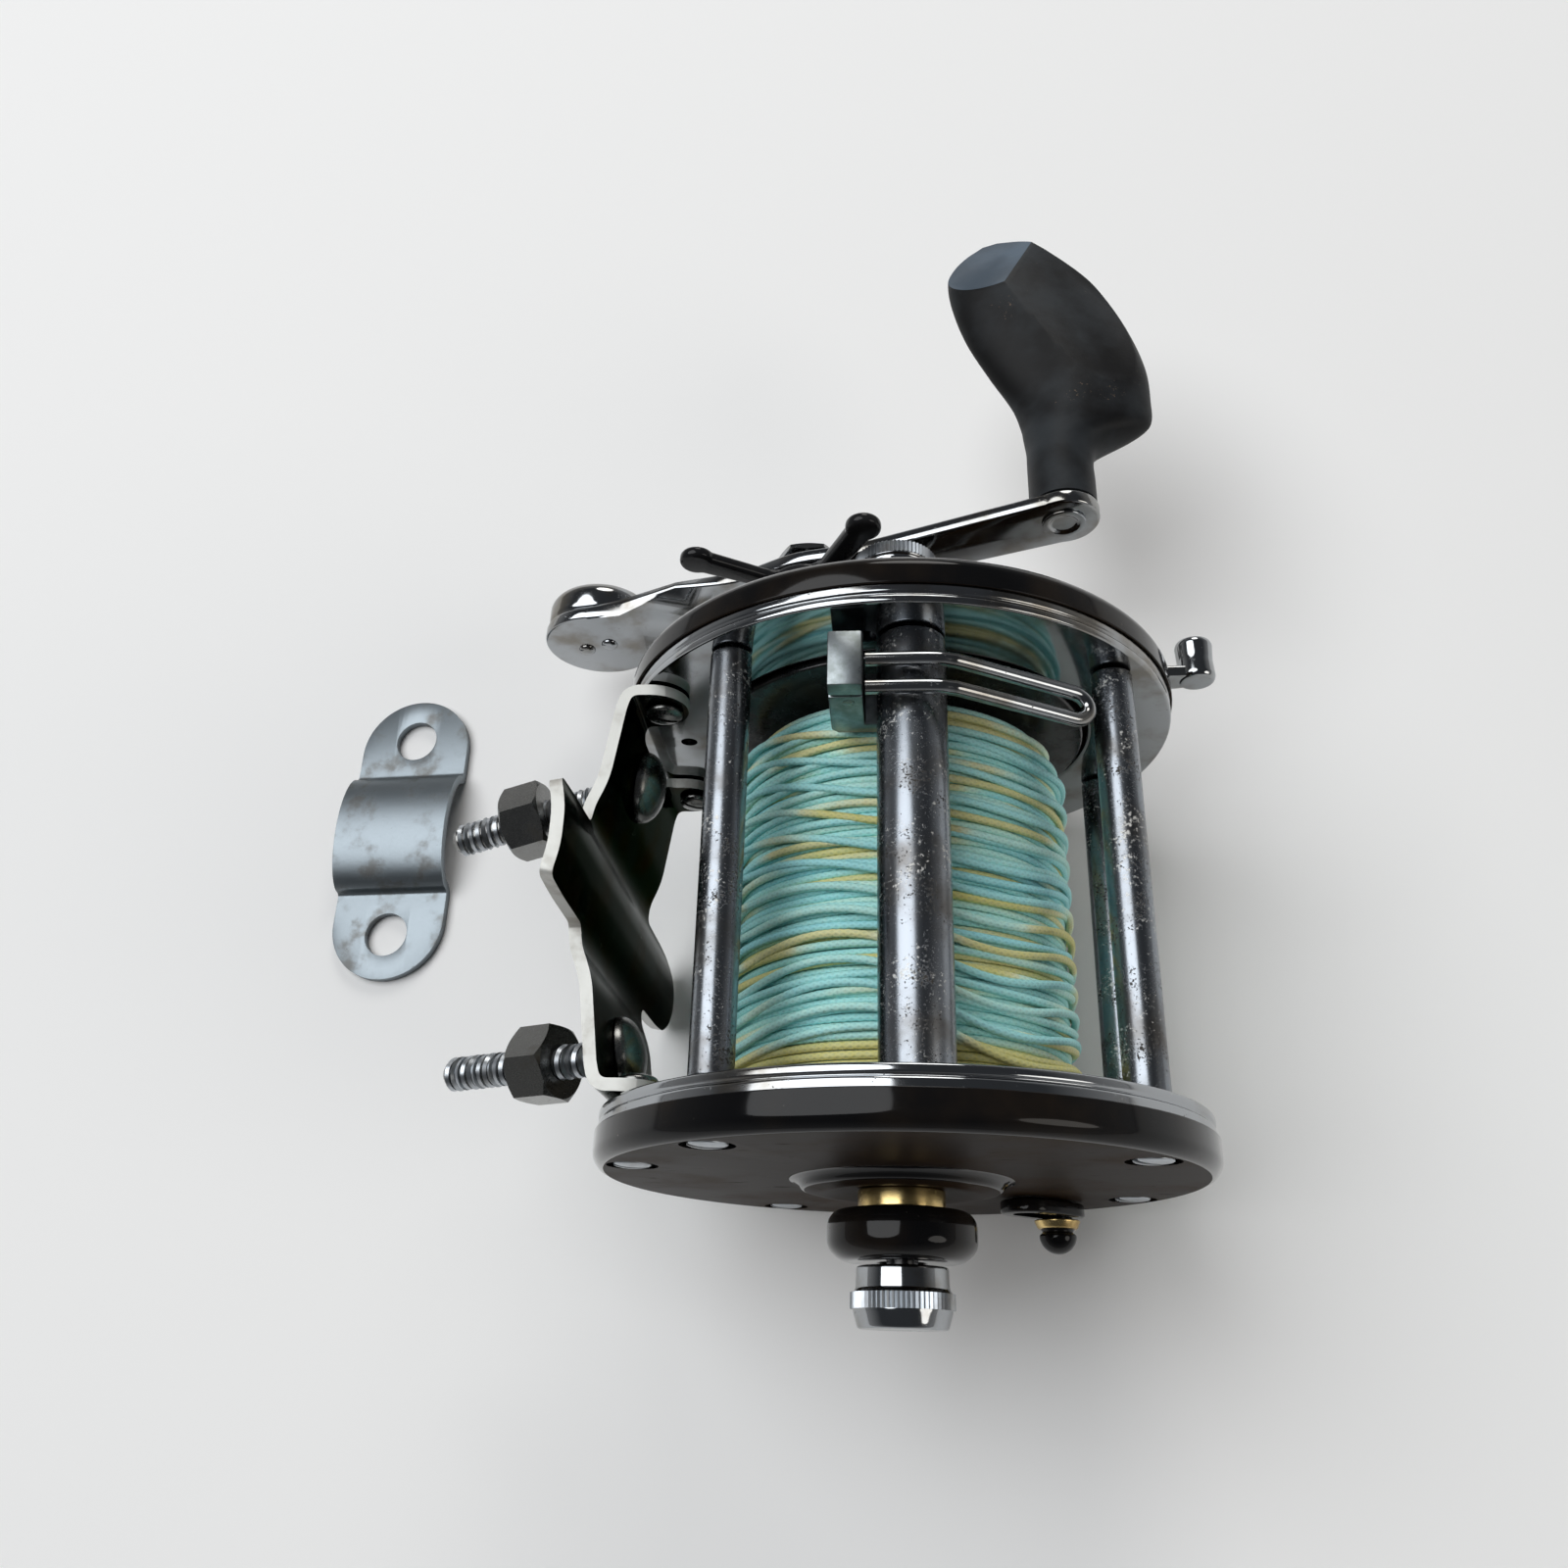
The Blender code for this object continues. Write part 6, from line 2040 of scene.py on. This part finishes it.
@dataclass
class RodStand:
    """The stamped rod stand, its tab screws, and the loose clamp studs with their nuts."""

    shop: Workshop
    seat: float = -34.6
    thick: float = 1.4
    blade_half: float = 6.0
    blade_drop: float = 0.9
    leg_rise: float = 3.0
    tab_height: float = 6.8
    tab_y: float = 23.15
    blade_front: float = 33.0
    blade_rear: float = -38.0
    leg_half: float = 18.0
    fork_half: float = 9.5
    stud_y: float = 17.5
    stud_z: float = 3.0
    stud_radius: float = 2.1
    stud_length: float = 26.5
    stud_room: float = 1.2
    head_radius: float = 4.7
    head_rise: float = 2.8
    thread_pitch: float = 0.85
    thread_depth: float = 0.36
    thread_start: float = 2.2
    nut_flats: float = 8.7
    nut_thick: float = 5.4
    nut_turn: float = 30.0
    studs: tuple[StudPose, ...] = (
        StudPose(Side.LEFT, 22.6, 0.9, 8.9), StudPose(Side.RIGHT, 9.4, 12.7, 13.2),
    )

    def strip(self) -> Strip:
        """The stand's sheet, its section as (y, x) points from the middle out."""
        low = self.seat - self.blade_drop
        foot = low + self.leg_rise
        corners = [
            (0.0, self.seat), (1.6, self.seat), (3.6, self.seat - self.blade_drop * 0.3),
            (self.blade_half, low), (self.blade_half + 2.4, low + 0.2),
            (self.stud_y - 5.5, low + self.leg_rise * 0.55), (self.stud_y + 4.0, foot),
            (self.tab_y, foot + 0.5), (self.tab_y, foot + self.tab_height),
        ]
        return Strip(tuple(eased(corners, 1.8)), self.thick)

    def pattern(self, strip: Strip) -> Outline:
        """Draw half of the flat blank.

        Args:
            strip: The sheet that it is bent to.

        Returns:
            Its outline, from the blade's front end round to its rear end.
        """
        end = strip.runs()[-1] - 0.01
        blade = strip.reach(self.blade_half)
        fork = strip.reach(self.stud_y + 4.6)
        half, gap, rear_end = self.leg_half, self.fork_half, self.blade_rear
        middle, round_end = (half + gap) / 2, (half - gap) / 2
        front = [(0.0, self.blade_front), (blade * 0.93, self.blade_front), (blade, self.blade_front - 6.0)]
        root = [(blade + 0.2, half + 0.4), (blade + 3.0, half)]
        prong = arc(round_end, 90.0, -90.0, 12, (end - round_end, middle))
        notch = [(fork + 1.5, gap), (fork, gap - 2.2), (fork, 2.2 - gap), (fork + 1.5, -gap)]
        back = arc(round_end, 90.0, -90.0, 12, (end - round_end, -middle))
        rear = [(blade + 3.0, -half), (blade + 0.2, -half - 0.4), (blade, rear_end + 9.0)]
        tail = [(blade * 0.92, rear_end + 3.6), (blade * 0.66, rear_end + 1.0), (0.0, rear_end)]
        return eased(front + root + prong + notch + back + rear + tail, 1.4)

    def build(self) -> None:
        """Make the stand, its screws and the studs."""
        strip = self.strip()
        half = self.pattern(strip)
        outline = half + [(-s, z) for s, z in reversed(half[1:-1])]
        spot, room = strip.reach(self.stud_y), self.stud_radius + self.stud_room
        holes = [circle(room, (side.sign * spot, self.stud_z)) for side in Side]
        sheet = strip.mesh(outline, holes, 0.2)
        self.shop.place("rod_stand", sheet, Coat.STAND, "frame", ["stand"], sharp=30.0, trim=Coat.EDGE)
        self.tab_screws()
        for pose in self.studs:
            self.stud(pose)

    def tab_screws(self) -> None:
        """Domed, slotted screws through the stand's tabs."""
        for side in Side:
            nodes = [f"tab_screw_{side.value}_{end}" for end in ("front", "rear")]
            screw = slotted_screw(2.3, 0.75, 0.25, 0.6)
            level = side.sign * (self.tab_y - GAP)
            spots = [Vector((x, level, z)) for x, z in map(self.shop.reel.middle, nodes)]
            turn = (0.0, 0.9, 0.0) if side is Side.LEFT else (math.pi, 0.5, 0.0)
            mesh = self.shop.scatter(screw, spots, turn, Coat.STEEL)
            self.shop.place(f"{side.value}_tab_screws", mesh, Coat.STEEL, "frame", nodes)

    def stud(self, pose: StudPose) -> None:
        """Make a stud with a domed head and a rolled thread, leaning in its hole, and its nut.

        Args:
            pose: How it hangs.
        """
        side, fall, sway = pose.side, math.radians(pose.droop), math.radians(pose.sway)
        level = math.cos(sway)
        way = Vector((-math.cos(fall) * level, -math.sin(sway), -math.sin(fall) * level))
        height = self.seat - self.blade_drop + self.leg_rise * 0.86
        root = Matrix.Translation((height, side.sign * self.stud_y, self.stud_z))
        local = root @ way.to_track_quat("Y", "Z").to_matrix().to_4x4()
        slope = math.atan2(self.leg_rise * 0.45, 9.5)
        square = Vector((-math.cos(slope), side.sign * math.sin(slope), 0.0))
        core, end, r = self.stud_radius - 0.32, self.stud_length, self.head_radius
        head = lathe([(0.0, 0.1), (r - 0.2, 0.1)] + crown(r, 0.0, -self.head_rise, 10), 56)
        seat = root @ square.to_track_quat("Y", "Z").to_matrix().to_4x4()
        head.transform(local.inverted() @ seat)
        shank = lathe([(0.0, end), (core - 0.5, end), (core, end - 0.6), (core, -0.6), (0.0, -0.6)], 56)
        name = f"{side.value}_stud"
        whole = carved(head, ("UNION", shank))
        self.shop.place(name, whole, Coat.STEEL, "frame", [f"stud_{side.value}"], local)
        thread = self.shop.thread.grow(
            Length=end - 3.0, Radius=core + 0.02, Pitch=self.thread_pitch, Depth=self.thread_depth,
            Material=self.shop.materials[Coat.ZINC],
        )
        lift = local @ Matrix.Translation(Y_AXIS * self.thread_start) @ Z_TO_Y
        self.shop.place(f"{name}_thread", thread, Coat.ZINC, "frame", local=lift, sharp=25.0)
        corner, bore = self.nut_flats / math.sqrt(3.0), self.stud_radius + 0.05
        nut = hex_nut(corner, pose.nut, pose.nut + self.nut_thick, ORIGIN, bore, self.nut_turn)
        self.shop.place(f"{name}_nut", nut, Coat.STEEL, "frame", [f"nut_{side.value}"], local, sharp=25.0)


@dataclass
class RodClamp:
    """The loose strap clamp that lies beside the reel."""

    shop: Workshop
    length: float = 50.0
    width: float = 19.0
    thick: float = 1.4
    arch_half: float = 10.4
    arch_rise: float = 4.6
    arch_steps: int = 22
    foot_run: float = 1.2
    foot_round: float = 1.6
    hole_radius: float = 3.6
    hole_place: float = 17.5

    def strip(self) -> Strip:
        """The strap's sheet, its top line as (y, height) points from the middle out."""
        half, foot = self.arch_half, self.thick
        corners = []
        for k in range(self.arch_steps + 1):
            share = k / self.arch_steps
            corners.append((half * share, foot + self.arch_rise * math.sqrt(1.0 - share ** 2)))
        corners += [(half + self.foot_run, foot), (self.length / 2, foot)]
        return Strip(tuple(eased(corners, self.foot_round)), self.thick)

    def build(self) -> None:
        """Blank the strap with round ends and two holes, arch it and lay it down."""
        strip = self.strip()
        end = strip.runs()[-1] - 0.01
        hole = end - (self.length / 2 - self.hole_place)
        r = self.width / 2
        holes = [circle(self.hole_radius, (side * hole, 0.0), 36) for side in (1.0, -1.0)]
        sheet = strip.mesh(stadium(end - r, r, 0.0, 28), holes, 0.2)
        low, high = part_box("rod_clamp")
        middle = Vector(((low[0] + high[0]) / 2, (low[1] + high[1]) / 2, low[2]))
        swap = Matrix(((0, 0, -1, 0), (0, 1, 0, 0), (1, 0, 0, 0), (0, 0, 0, 1)))
        world = Matrix.Translation(middle) @ Matrix.Scale(MM, 4) @ swap
        self.shop.place("strap_clamp", sheet, Coat.STRAP, "clamp", ["rod_clamp"], world=world, sharp=30.0)


@dataclass
class GearBox:
    """What the housing hides: these pieces keep their CAD shapes."""

    shop: Workshop

    def build(self) -> None:
        """Dress the gears, the bridge, the yoke and the drag washers."""
        self.shop.dress(Coat.BRASS, "main_gear", "pinion")
        self.shop.dress(Coat.STEEL, "bridge", "yoke")
        self.shop.dress(Coat.FIBRE, "drag_stack")


@dataclass(frozen=True)
class Lamp:
    """A soft area lamp aimed at the reel."""

    name: str
    way: Triple
    size: float
    power: float
    tint: Colour


@dataclass
class Studio:
    """Floor, lamps, surroundings and the photograph's camera."""

    reel: ReelFrame
    eye: Triple = (0.0, -50.868, 154.04)
    right: Triple = (0.9961, 0.0268, -0.0841)
    up: Triple = (0.0104, 0.9105, 0.4133)
    back: Triple = (0.0876, -0.4126, 0.9067)
    lens: float = 29.59
    sensor: float = 36.0
    clip: Point = (0.01, 20.0)
    floor_half: float = 3.0
    floor_tint: Colour = (0.94, 0.935, 0.925)
    lamp_distance: float = 1.6
    lamps: tuple[Lamp, ...] = (
        Lamp("key", (-0.38, 0.14, 0.91), 1.5, 20.0, (0.96, 0.98, 1.0)),
        Lamp("rear_strip", (0.15, 0.85, 0.55), 0.7, 6.0, (1.0, 0.98, 0.95)),
        Lamp("fill", (0.85, -0.30, 0.50), 0.8, 4.0, (1.0, 0.96, 0.90)),
    )
    sky: Colour = (0.05, 0.053, 0.058)
    horizon: Colour = (0.34, 0.34, 0.34)
    sky_from: float = 0.55

    def build(self) -> None:
        """Set the stage."""
        self.floor()
        self.light()
        self.surroundings()
        self.camera()
        bpy.context.scene.view_settings.view_transform = "Standard"

    def floor(self) -> None:
        """A plain pale floor under the reel."""
        half = self.floor_half
        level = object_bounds()[0].z
        mesh = bpy.data.meshes.new("floor")
        corners = [(-half, -half, level), (half, -half, level), (half, half, level), (-half, half, level)]
        mesh.from_pydata(corners, [], [(0, 1, 2, 3)])
        graph = Graph.of_material("pale_floor")
        mesh.materials.append(graph.surface(Base_Color=self.floor_tint, Roughness=0.9))
        floor = linked("floor", mesh)
        floor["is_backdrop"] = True

    def light(self) -> None:
        """Hang the lamps round the reel."""
        for lamp in self.lamps:
            data = bpy.data.lights.new(lamp.name, "AREA")
            data.shape = "DISK"
            data.size = lamp.size
            data.energy = lamp.power
            data.color = lamp.tint
            thing = linked(lamp.name, data)
            way = Vector(lamp.way).normalized()
            thing.location = way * self.lamp_distance
            thing.rotation_mode = "QUATERNION"
            thing.rotation_quaternion = way.to_track_quat("Z", "Y")
            thing.visible_camera = False

    def surroundings(self) -> None:
        """A dim room that brightens towards the horizon."""
        world = bpy.data.worlds.new("studio")
        bpy.context.scene.world = world
        graph = Graph(world)
        way = graph.add("ShaderNodeTexCoord", out="Generated")
        height = graph.add("ShaderNodeSeparateXYZ", None, {0: way}, "Z")
        stops = ((0.0, self.horizon), (self.sky_from, self.sky))
        colour = graph.add("ShaderNodeValToRGB", {"stops": stops}, {"Fac": height})
        glow = graph.add("ShaderNodeBackground", None, {"Color": colour})
        graph.add("ShaderNodeOutputWorld", None, {"Surface": glow})

    def camera(self) -> None:
        """Put the camera where the photograph's was, in the reel's axes."""
        data = bpy.data.cameras.new("photo_camera")
        data.lens = self.lens
        data.sensor_width = self.sensor
        data.clip_start, data.clip_end = self.clip
        thing = linked("photo_camera", data)
        turn = Matrix((self.right, self.up, self.back)).transposed().to_4x4()
        axes = self.reel.matrix.to_3x3().normalized().to_4x4()
        thing.matrix_world = Matrix.Translation(self.reel.matrix @ Vector(self.eye)) @ axes @ turn
        bpy.context.scene.camera = thing


def main() -> None:
    """Build the reel's looks around its frame."""
    logging.basicConfig(level=logging.INFO, format="%(name)s: %(message)s")
    for old in list(bpy.data.objects):
        bpy.data.objects.remove(old, do_unlink=True)
    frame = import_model()
    reel = ReelFrame.from_frame(frame)
    Studio(reel).build()
    shop = Workshop(reel)
    for kind in (
        SideFrames, Posts, LevelWind, SpoolAndLine, BearingCaps, ClickSwitch, StarDrag, Crank,
        FreeSpoolLever, RodStand, RodClamp, GearBox,
    ):
        kind(shop).build()


if __name__ == "__main__":
    main()
